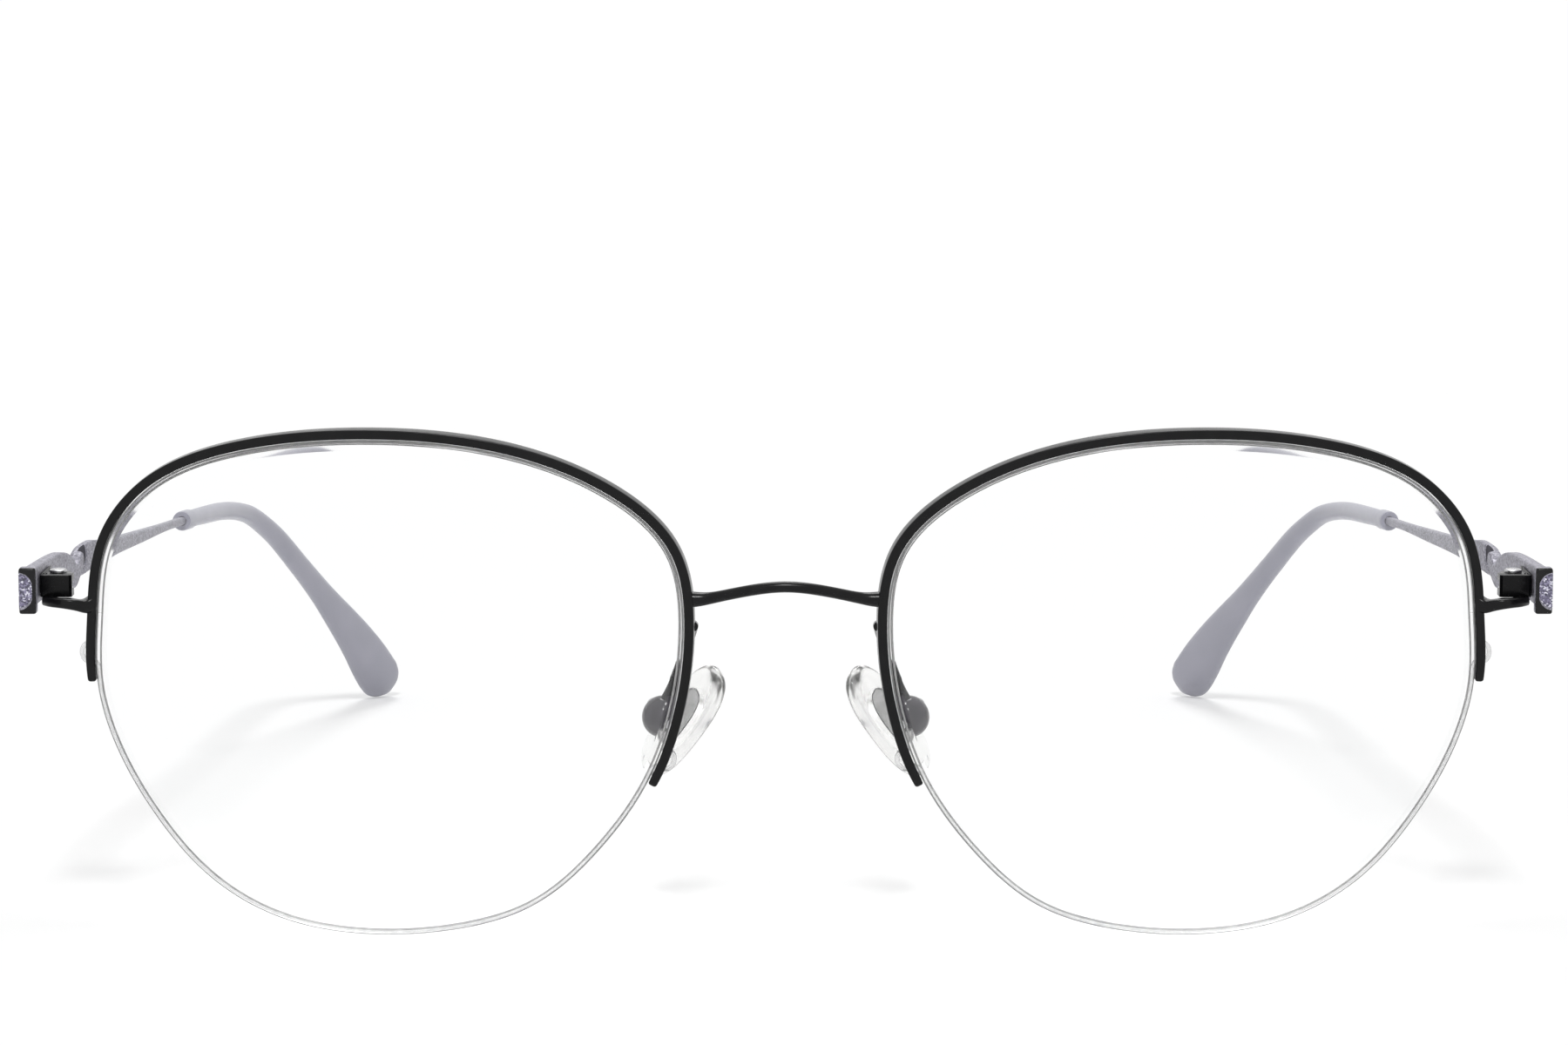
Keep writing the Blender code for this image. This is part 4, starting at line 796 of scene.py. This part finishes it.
def temple(name, side):
    """Hooked corner, waved ribbon, thin rod and the core wire inside the tip, in one piece."""
    corner = CORNER_ROUNDING / TEMPLE_REACH[-1]
    shoulder = SHOULDER_PLACE / TEMPLE_REACH[-1]
    edge = SHOULDER_EDGE / TEMPLE_REACH[-1]
    groove = GROOVE_RUN / TEMPLE_REACH[-1]
    shares = {corner * (1 - math.cos(math.pi / 2 * i / CORNER_STEPS)) for i in range(CORNER_STEPS)}
    shares |= {shoulder + edge * i / 4 for i in range(5)} | {shoulder + groove + edge * i / 4 for i in range(5)}
    close = edge / 4
    for share in even(TEMPLE_STEPS, corner, TIP_START_SHARE)[:-1]:
        if min(abs(share - other) for other in shares) > close:
            shares.add(share)
    shares = sorted(shares) + core_shares()
    inner_face = 3 * (ARC_STEPS + 1) - ARC_STEPS
    metal, shade, enamel = range(3)
    # Rings from the shoulder through the groove: their inner-face faces take the dark lacquer, painted shade of
    # the recess behind the shoulder
    dark = [shoulder - close / 2 < share < shoulder + groove + close / 2 for share in shares]

    def look(ring, point):
        if ring < CORNER_STEPS:
            return enamel
        return shade if dark[ring] and dark[ring + 1] and point >= inner_face else metal

    return skin(name, temple_rings(shares), side, 50, look, enamel)


def inlay_path():
    """Places over the front face, round the corner and back, with the way that the strip faces."""
    turn = CORNER_ROUNDING
    path = []
    for share in even(INLAY_STEPS):
        reach = INLAY_FACE_WIDTH * (1 - share) + turn * share
        tall = math.sqrt(max(0, 1 - (reach / INLAY_FACE_WIDTH) ** 2))
        path.append((TEMPLE_OUTER_X - reach, TEMPLE_FRONT_Y, 0, -1, tall))
    for i in range(1, INLAY_STEPS // 2):
        angle = math.pi * i / INLAY_STEPS
        aside, ahead = math.sin(angle), math.cos(angle)
        path.append((TEMPLE_OUTER_X - turn + turn * aside, TEMPLE_FRONT_Y + turn - turn * ahead,
                     aside, -ahead, 1))
    for share in even(4 * INLAY_STEPS):
        tall = max(INLAY_END_SHARE, math.cos(math.pi / 2 * share ** INLAY_FULLNESS))
        path.append((TEMPLE_OUTER_X, TEMPLE_FRONT_Y + turn + INLAY_LENGTH * share, 1, 0, tall))
    return path


def inlay_look(at_end, point):
    """Glitter inside, a thin light line round it and black enamel outside."""
    flakes, enamel, light_line = range(3)
    if at_end or not 0 < point < 10:
        return enamel
    return light_line if point in (1, 9) else flakes


def inlay(name, side):
    """The leaf-shaped glitter field with its black border, a hair proud of the temple's face."""
    rings = []
    for x, y, face_x, face_y, tall in inlay_path():
        half = INLAY_HALF_HEIGHT * tall + INLAY_BORDER / 3
        middle = TEMPLE_FRONT_Z - TEMPLE_DROP * INLAY_DROP_SHARE * max(0, y - TEMPLE_FRONT_Y) / INLAY_LENGTH
        ring = []
        inside = max(0, half - INLAY_LINE)
        for height, proud in ([(-half - INLAY_BORDER, -1), (-half - INLAY_BORDER, 0.4), (-half, 0.6)]
                              + [(inside * share, 1) for share in even(6, -1.0, 1.0)]
                              + [(half, 0.6), (half + INLAY_BORDER, 0.4), (half + INLAY_BORDER, -1)]):
            out = INLAY_PROUD * proud if proud > 0 else -INLAY_THICKNESS
            ring.append(Vector((x + face_x * out, y + face_y * out, middle + height)))
        rings.append(ring)
    last = len(rings) - 2
    return skin(name, rings, side, 30, lambda ring, point: inlay_look(ring in (0, last), point))


def tip(name, side):
    """The bored sleeve with its collar, which widens into a paddle."""
    span = 1 - TIP_START_SHARE
    rings = []
    for centre, run in middles([TIP_START_SHARE + span * TIP_BORE_SHARE] + core_shares()[::-1]):
        level, steep = across(run)
        rings.append(circle(centre, level, steep, TIP_BORE_RADIUS, TIP_SIDES))
    table = np.array(TIP_SHARES)
    form = spline([(share, wide, thick) for share, wide, thick in TIP_SHARES], 1)
    shares = sorted(set(even(TIP_STEPS)) | set(table[:4, 0]) | set(table[-4:, 0]) | {0.994, 0.998})
    places = middles([TIP_START_SHARE + span * share for share in shares])
    for (centre, run), share in zip(places, shares):
        level, steep = across(run)
        wide = np.interp(share, form[:, 0], form[:, 1])
        thick = np.interp(share, form[:, 0], form[:, 2])
        turn = Matrix.Rotation(-TIP_TWIST * max(0, share - 0.5) * 2, 3, run)
        rings.append(circle(centre, turn @ level, turn @ steep, TIP_HALF_THICKNESS * thick, TIP_SIDES,
                            TIP_HALF_WIDTH * wide))
    return skin(name, rings, side, 45)


def pad_axes():
    """The pad's long direction, its width direction and the way that it faces the nose."""
    facing = Vector((-math.cos(PAD_SPLAY) * math.cos(PAD_DIP), math.sin(PAD_SPLAY) * math.cos(PAD_DIP),
                     -math.sin(PAD_DIP)))
    lean = Vector((-math.sin(PAD_LEAN), 0, math.cos(PAD_LEAN)))
    long = (lean - facing * lean.dot(facing)).normalized()
    return long, facing.cross(long).normalized(), facing


PAD_LONG, PAD_ACROSS, PAD_FACING = pad_axes()
PAD_CENTRE = Vector((PAD_SPACING / 2, NOSE_EDGE.y + PAD_BEHIND_LENS, LENS_CENTRE.z - PAD_BELOW_MIDDLE))
PAD_PIVOT = PAD_CENTRE - PAD_FACING * PAD_AXIS_DEPTH


def blunt(value):
    """A sine or cosine drawn out, so that an oval made with it gets fuller ends."""
    return math.copysign(abs(value) ** (2 / PAD_BLUNTNESS), value)


def pad_ring(share, height, shy=0.0):
    """One ring of the pad's blunt oval, at a height towards the nose."""
    centre = PAD_CENTRE + PAD_FACING * height
    half_long = PAD_LENGTH / 2 * share - shy
    half_wide = PAD_WIDTH / 2 * share - shy
    ring = []
    for i in range(PAD_SIDES):
        turn = math.tau * (i + 0.5) / PAD_SIDES
        along, aside = blunt(math.cos(turn)), blunt(math.sin(turn))
        ring.append(centre + PAD_LONG * (half_long * along) + PAD_ACROSS * (half_wide * aside))
    return ring


def pad_circle(depth, radius, sides):
    """A ring round the pad's axis, at a depth behind its middle."""
    return circle(PAD_CENTRE - PAD_FACING * depth, PAD_LONG, PAD_ACROSS, radius, sides)


def nose_pad(name, side):
    """The soft oval pad, crowned towards the nose, with a pocket at its back for its core."""
    floor = PAD_THICKNESS * PAD_POCKET_FLOOR_SHARE
    mouth = PAD_THICKNESS * PAD_PROFILE_SHARES[0][1]
    profile = spline(PAD_PROFILE_SHARES, 2)[::3].tolist() + [(0.2, 0.585), (0.05, 0.59)]
    rings = [pad_ring(PAD_POCKET_SHARE, floor), pad_ring(PAD_POCKET_SHARE, mouth)]
    rings += [pad_ring(share, PAD_THICKNESS * height) for share, height in profile]
    return skin(name, rings, side, 50)


def pad_core(name, side):
    """The stiff plate inside the pad, with the stub that turns on the pad's screw."""
    top = PAD_THICKNESS * PAD_POCKET_FLOOR_SHARE - CORE_GAP
    low = PAD_THICKNESS * PAD_PROFILE_SHARES[0][1]
    soft = CORE_GAP
    rings = [pad_ring(PAD_POCKET_SHARE, top, CORE_GAP + soft), pad_ring(PAD_POCKET_SHARE, top - soft, CORE_GAP),
             pad_ring(PAD_POCKET_SHARE, low + soft, CORE_GAP), pad_ring(PAD_POCKET_SHARE, low, CORE_GAP + soft)]
    for depth in (-low, -low + CORE_STUB_LENGTH):
        rings.append(pad_circle(depth, CORE_STUB_RADIUS, PAD_SIDES))
    # The plate's edge wall takes the darker grey outline finish: painted shade for the dark outline of a clear
    # plate's edge
    return skin(name, rings, side, tag=lambda ring, point: int(ring in (1, 2)))


def pad_cup(name, side):
    """The round housing that holds the pad's stub: a ball with an open front."""
    rings = []
    for i in range(1, CUP_STEPS + 1):
        turn = math.pi / 2 * i / CUP_STEPS
        depth = CUP_BACK_DEPTH - (CUP_BACK_DEPTH - CUP_RIM_DEPTH) * CUP_BALL_SHARE * (1 - math.cos(turn))
        rings.append(pad_circle(depth, CUP_RADIUS * (0.06 + 0.94 * math.sin(turn)), CUP_SIDES))
    soft = (CUP_RADIUS - CUP_BORE_RADIUS) / 3
    lip = ((CUP_RADIUS, CUP_RIM_DEPTH + soft), (CUP_RADIUS - soft * 0.3, CUP_RIM_DEPTH + soft * 0.3),
           (CUP_RADIUS - soft, CUP_RIM_DEPTH), (CUP_BORE_RADIUS + soft, CUP_RIM_DEPTH),
           (CUP_BORE_RADIUS, CUP_RIM_DEPTH + soft), (CUP_BORE_RADIUS, CUP_FLOOR_DEPTH))
    rings += [pad_circle(depth, radius, CUP_SIDES) for radius, depth in lip]
    return skin(name, rings, side, 40)


def pad_screw(name, side):
    """The small domed screw that the pad rocks on."""
    reach = CUP_RADIUS + PAD_SCREW_PROUD
    rings = []
    for share, size in ((-1.0, 0.35), (-0.985, 0.75), (-0.95, 1.0), (0.95, 1.0), (0.985, 0.75), (1.0, 0.35)):
        rings.append(circle(PAD_PIVOT + PAD_ACROSS * reach * share, PAD_LONG, PAD_FACING,
                            PAD_SCREW_HEAD_RADIUS * size, WIRE_SIDES))
    return skin(name, rings, side)


def pad_arm(name, side):
    """The bent wire from the back of the rim's nose side to the pad's housing."""
    root = edge_at_height(ARM_HEIGHT, True, ARM_BESIDE_LENS, RIM_DEPTH / 2)
    cup = PAD_CENTRE - PAD_FACING * (CUP_BACK_DEPTH + CUP_RIM_DEPTH) / 2
    span = cup - root
    line = [(root.x + span.x * aside, root.y + span.y * back, root.z + span.z * down)
            for aside, down, back in ARM_SHARES]
    fine = at_shares(spline(line, 3), 3, even(ARM_STEPS))
    radii = [ARM_RADIUS + (ARM_END_RADIUS - ARM_RADIUS) * share ** 2 for share in even(ARM_STEPS)]
    return skin(name, tube(fine, radii, WIRE_SIDES), side)


def fill(node, **values):
    """Set a node's inputs by name, with underscores for spaces."""
    for key, value in values.items():
        node.inputs[key.replace("_", " ")].default_value = value
    return node


def add_node(tree, kind, **values):
    """A new shader node of this kind."""
    return fill(tree.nodes.new("ShaderNode" + kind), **values)


class Looks:
    """A node material that is being put together."""

    def __init__(self, name):
        self.made = bpy.data.materials.new(name)
        self.made.use_nodes = True
        self.tree = self.made.node_tree
        self.shader = self.tree.nodes["Principled BSDF"]
        self.output = self.tree.nodes["Material Output"]
        self.place = self.add("TexCoord").outputs["Object"]

    def add(self, kind, **values):
        return add_node(self.tree, kind, **values)

    def set(self, **values):
        fill(self.shader, **values)
        return self

    def link(self, start, end):
        self.tree.links.new(start, end)

    def noise(self, size, detail=3.0, rough=0.55, stretch=(1, 1, 1)):
        """Noise whose cells are about the given size."""
        spread = self.add("Mapping", Scale=stretch)
        self.link(self.place, spread.inputs["Vector"])
        node = self.add("TexNoise", Scale=1 / size, Detail=detail, Roughness=rough)
        self.link(spread.outputs["Vector"], node.inputs["Vector"])
        return node.outputs["Fac"]

    def cells(self, size, output="Color"):
        """Cells of about the given size, each with its own colour."""
        node = self.add("TexVoronoi", Scale=1 / size)
        self.link(self.place, node.inputs["Vector"])
        return node.outputs[output]

    def ramp(self, value, stops):
        """Colours at places from 0 to 1."""
        node = self.add("ValToRGB")
        while len(node.color_ramp.elements) < len(stops):
            node.color_ramp.elements.new(0.5)
        for element, (at, color) in zip(node.color_ramp.elements, stops):
            element.position = at
            element.color = (*color, 1)
        self.link(value, node.inputs["Fac"])
        return node.outputs["Color"]

    def span(self, value, low, high, start=0.0, end=1.0):
        """The value spread from one range over another."""
        node = self.add("MapRange", From_Min=start, From_Max=end, To_Min=low, To_Max=high)
        self.link(value, node.inputs["Value"])
        return node.outputs["Result"]

    def bump(self, height, distance, strength):
        """Raise and lower the surface by up to the given distance."""
        node = self.add("Bump", Strength=strength, Distance=distance)
        self.link(height, node.inputs["Height"])
        self.link(node.outputs["Normal"], self.shader.inputs["Normal"])

    def color(self, value):
        """Give the surface these colours."""
        self.link(value, self.shader.inputs["Base Color"])

    def rough(self, value, low, high, start=0.3, end=0.7):
        """Let the value set how rough the surface is."""
        self.link(self.span(value, low, high, start, end), self.shader.inputs["Roughness"])

    def mix(self, share, first, second):
        """One colour over another."""
        node = self.add("Mix")
        node.data_type = "RGBA"
        for key, value in ((0, share), (6, first), (7, second)):
            self.link(value, node.inputs[key])
        return node.outputs[2]

    def clear_shadow(self, tint):
        """Light passes through to what lies behind, tinted, as it does through a thin clear piece."""
        rays, both = self.add("LightPath"), self.add("MixShader")
        clear = self.add("BsdfTransparent", Color=(tint, tint, tint, 1))
        self.link(rays.outputs["Is Shadow Ray"], both.inputs[0])
        self.link(self.shader.outputs[0], both.inputs[1])
        self.link(clear.outputs[0], both.inputs[2])
        self.link(both.outputs[0], self.output.inputs["Surface"])
        return self


def lacquer(name, dark, light, roughness, specular):
    """Dark lacquer, a little uneven in colour and gloss."""
    look = Looks(name).set(Metallic=0.0, IOR=1.45, Specular_IOR_Level=specular)
    look.color(look.ramp(look.noise(0.0012, 4), ((0.35, dark), (0.7, light))))
    look.rough(look.noise(0.0006, 5), *roughness)
    look.bump(look.noise(0.00022, 3), 0.000004, 0.5)
    return look.made


def turned_steel(name):
    """Bright steel with fine tool marks."""
    look = Looks(name).set(Metallic=1.0)
    grain = look.noise(0.00008, 4, 0.6, (1, 1, 6))
    look.color(look.ramp(grain, ((0.3, (0.36, 0.36, 0.37)), (0.7, (0.62, 0.62, 0.63)))))
    look.rough(grain, 0.18, 0.38)
    look.bump(grain, 0.000006, 0.5)
    return look.made


def temple_metal(name):
    """Lavender-grey metal with a fine sparkling grain."""
    look = Looks(name).set(Metallic=0.35, Coat_Weight=0.1, Coat_Roughness=0.3)
    grain = look.ramp(look.cells(0.00016), ((0.1, (0.13, 0.125, 0.15)), (0.5, (0.27, 0.265, 0.31)),
                                            (0.9, (0.52, 0.51, 0.58))))
    cloud = look.ramp(look.noise(0.003, 3), ((0.3, (0.26, 0.255, 0.30)), (0.7, (0.32, 0.31, 0.365))))
    share = look.span(look.noise(0.0009, 4), 0.05, 0.4)
    look.color(look.mix(share, grain, cloud))
    look.rough(look.noise(0.0005, 4), 0.48, 0.62)
    look.bump(look.cells(0.00016, "Distance"), 0.000015, 0.4)
    return look.made


def glitter(name):
    """Lavender and violet flakes under clear enamel."""
    look = Looks(name).set(Coat_Weight=1.0, Coat_Roughness=0.06)
    flakes = look.cells(0.00015)
    apart = look.add("SeparateColor")
    look.link(flakes, apart.inputs[0])
    look.color(look.ramp(apart.outputs[0], (
        (0.0, (0.04, 0.038, 0.07)), (0.3, (0.10, 0.092, 0.155)), (0.55, (0.19, 0.17, 0.28)),
        (0.8, (0.34, 0.32, 0.46)), (0.95, (0.80, 0.79, 0.90)))))
    look.link(look.span(apart.outputs[1], 0.3, 0.85), look.shader.inputs["Metallic"])
    look.rough(apart.outputs[2], 0.12, 0.45, 0.0, 1.0)
    look.bump(apart.outputs[1], 0.00005, 0.8)
    return look.made


def tip_plastic(name):
    """Satin lavender-grey plastic."""
    look = Looks(name).set(IOR=1.49, Coat_Weight=0.25, Coat_Roughness=0.25)
    look.color(look.ramp(look.noise(0.004, 4), ((0.3, (0.30, 0.30, 0.37)), (0.7, (0.345, 0.34, 0.415)))))
    look.rough(look.noise(0.0008, 5), 0.30, 0.42)
    look.bump(look.noise(0.00018, 2), 0.000004, 0.4)
    return look.made


def clear_glass(name, tint, roughness, index, shadow):
    """Clear glass or plastic. The index of bevel, groove and liner is chosen for the picture."""
    look = Looks(name).set(Base_Color=(*tint, 1), Roughness=roughness, IOR=index, Transmission_Weight=1.0)
    return look.clear_shadow(shadow).made


def cloudy(name, low, high, roughness, transmission, shadow):
    """A translucent piece whose clarity varies a little."""
    look = Looks(name).set(Roughness=roughness, IOR=1.45, Transmission_Weight=transmission)
    look.color(look.ramp(look.noise(0.0008, 4), ((0.3, low), (0.7, high))))
    look.bump(look.noise(0.00012, 3), 0.00001, 0.4)
    return look.clear_shadow(shadow).made


def all_looks():
    """Every finish, by the name that the pieces use."""
    return {
        "rim": lacquer("rim_black", (0.002, 0.002, 0.0025), (0.005, 0.005, 0.0055), (0.16, 0.26), 0.25),
        "hinge": lacquer("hinge_black", (0.003, 0.003, 0.0035), (0.006, 0.006, 0.0065), (0.18, 0.32), 0.20),
        "cup": lacquer("cup_black", (0.022, 0.020, 0.026), (0.042, 0.038, 0.047), (0.10, 0.18), 0.40),
        "steel": turned_steel("screw_steel"),
        "temple": temple_metal("temple_lavender"),
        # Dark lacquer on the groove behind the temple's shoulder: painted shade of the recess
        "shade": lacquer("groove_dark", (0.05, 0.048, 0.06), (0.09, 0.085, 0.105), (0.55, 0.7), 0.1),
        "glitter": glitter("glitter"),
        "border": lacquer("enamel_black", (0.006, 0.006, 0.007), (0.012, 0.012, 0.013), (0.15, 0.25), 0.3),
        "tip": tip_plastic("tip_lavender"),
        "glass": clear_glass("lens_clear", (0.992, 0.996, 0.996), 0.0, 1.5, 0.97),
        "ground": cloudy("lens_ground_edge", (0.93, 0.94, 0.94), (0.99,) * 3, 0.30, 0.92, 0.45),
        # Dark grey on the lens's fine facets: painted shade lines along the lens's edge
        "fine": cloudy("lens_fine_line", (0.22,) * 3, (0.32,) * 3, 0.45, 0.35, 0.3),
        "satin": clear_glass("lens_bevel", (1.0,) * 3, 0.10, 1.12, 0.95),
        "nylon": cloudy("nylon_clear", (0.80,) * 3, (0.94,) * 3, 0.20, 0.8, 0.85),
        "liner": clear_glass("nylon_liner", (0.99,) * 3, 0.12, 1.12, 0.95),
        "core": cloudy("pad_core_clear", (0.62,) * 3, (0.74,) * 3, 0.22, 0.75, 0.8),
        # Darker grey on the core plate's edge wall: painted shade of its outline
        "outline": cloudy("pad_core_edge", (0.30, 0.30, 0.31), (0.42, 0.42, 0.43), 0.35, 0.55, 0.7),
        "silicone": cloudy("pad_silicone", (0.94, 0.94, 0.93), (0.98, 0.98, 0.97), 0.06, 0.95, 0.92),
    }


LOOKS = all_looks()


# What makes each piece (or the width by which its node's own edges are eased), the names of the
# piece, its node and its body, and its finishes
PIECES = (
    (lens, "clear_lens", "lens", "front", "glass ground fine satin"),
    (rim, "eyewire", "rim", "front", "rim"),
    (liner, "liner", "rim_liner", "front", "liner"),
    (lens_cord, "nylon_cord", "lens_cord", "front", "nylon"),
    (endpiece, "endpiece_bar", "endpiece", "front", "rim"),
    (EDGE_EASE, "front_leaf", "hinge_front", "front", "hinge"),
    (EDGE_EASE, "temple_leaf", "hinge_temple", "temple", "hinge"),
    (EDGE_EASE / 2, "pin_screw", "hinge_screw", "front", "steel"),
    (temple, "temple_arm", "temple", "temple", "temple shade border"),
    (inlay, "glitter_field", "temple_inlay", "temple", "glitter border temple"),
    (tip, "sleeve", "temple_tip", "temple", "tip"),
    (pad_arm, "arm_wire", "pad_arm", "front", "rim"),
    (pad_cup, "pad_housing", "pad_cup", "front", "cup"),
    (pad_screw, "pad_pin", "pad_screw", "front", "steel"),
    (pad_core, "pad_plate", "pad_core", "nose_pad", "core outline"),
    (nose_pad, "soft_pad", "nose_pad", "nose_pad", "silicone"))


def piece(thing, node, body, looks):
    """The made thing stands for its node, rides on the body and gets its finish."""
    for look in looks.split():
        thing.data.materials.append(LOOKS[look])
    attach(thing, body)
    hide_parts(node)


def build():
    """Every piece on both sides."""
    for word, side in SIDES.items():
        for maker, made, node, body, looks in PIECES:
            name, node = f"{made}_{word}", f"{node}_{word}"
            thing = maker(name, side) if callable(maker) else eased(name, node, maker)
            piece(thing, node, body if body == "front" else f"{body}_{word}", looks)
    piece(bridge(), "bridge", "front", "rim")


def seen_white(tree, plain, seen):
    """A factor that is 1 where camera, glossy or clear rays look, for mixing the plain and the seen shader."""
    rays = add_node(tree, "LightPath")
    total = rays.outputs["Is Camera Ray"]
    for name in ("Is Glossy Ray", "Is Transmission Ray"):
        node = add_node(tree, "Math")
        node.operation = "MAXIMUM"
        tree.links.new(total, node.inputs[0])
        tree.links.new(rays.outputs[name], node.inputs[1])
        total = node.outputs[0]
    both = add_node(tree, "MixShader")
    for number, output in enumerate((total, plain, seen)):
        tree.links.new(output, both.inputs[number])
    return both.outputs[0]


def world():
    """A soft white room: full white where it is seen, and a plain level where it lights."""
    made = bpy.data.worlds.new("room")
    made.use_nodes = True
    tree = made.node_tree
    light = fill(tree.nodes["Background"], Color=(1, 1, 1, 1), Strength=ROOM_LIGHT)
    seen = add_node(tree, "Background", Color=(1, 1, 1, 1), Strength=1.0)
    result = seen_white(tree, light.outputs[0], seen.outputs[0])
    tree.links.new(result, tree.nodes["World Output"].inputs["Surface"])
    bpy.context.scene.world = made


def floor():
    """A pale floor that keeps the shadow and is white where nothing shades it."""
    half = FLOOR_SIZE / 2
    mesh = bpy.data.meshes.new("floor")
    corners = [(-half, -half, 0), (half, -half, 0), (half, half, 0), (-half, half, 0)]
    mesh.from_pydata(corners, [], [(0, 1, 2, 3)])
    thing = placed("floor", mesh)
    look = Looks("floor_white")
    tree = look.tree
    plain = add_node(tree, "BsdfDiffuse", Color=(FLOOR_TONE, FLOOR_TONE, FLOOR_TONE, 1))
    glow = add_node(tree, "Emission", Strength=FLOOR_GLOW)
    both = add_node(tree, "AddShader")
    tree.links.new(plain.outputs[0], both.inputs[0])
    tree.links.new(glow.outputs[0], both.inputs[1])
    result = seen_white(tree, plain.outputs[0], both.outputs[0])
    tree.links.new(result, look.output.inputs["Surface"])
    mesh.materials.append(look.made)


def soft_sun(name, toward, angle):
    """A lamp far away in the given direction, as wide as the angle in degrees."""
    data = bpy.data.lights.new(name, "SUN")
    data.angle = math.radians(angle)
    data.energy = LAMP_STRENGTH
    placed(name, data).rotation_euler = Vector(toward).to_track_quat("Z", "Y").to_euler()


def camera():
    """The photo's view."""
    data = bpy.data.cameras.new("camera")
    data.lens = FOCAL
    data.sensor_width = SENSOR
    data.clip_start = 0.01
    thing = placed("camera", data)
    thing.location = (CAMERA_X, -CAMERA_DISTANCE - MIDDLE_Y, CAMERA_Z)
    thing.rotation_euler = (math.pi / 2 - CAMERA_PITCH, 0, 0)
    bpy.context.scene.camera = thing


build()
camera()
world()
floor()
soft_sun("front_lamp", (0.0, -0.64, 0.77), 9)
soft_sun("back_lamp", (0.0, 0.50, 0.87), 24)
bpy.context.scene.view_settings.view_transform = "Standard"
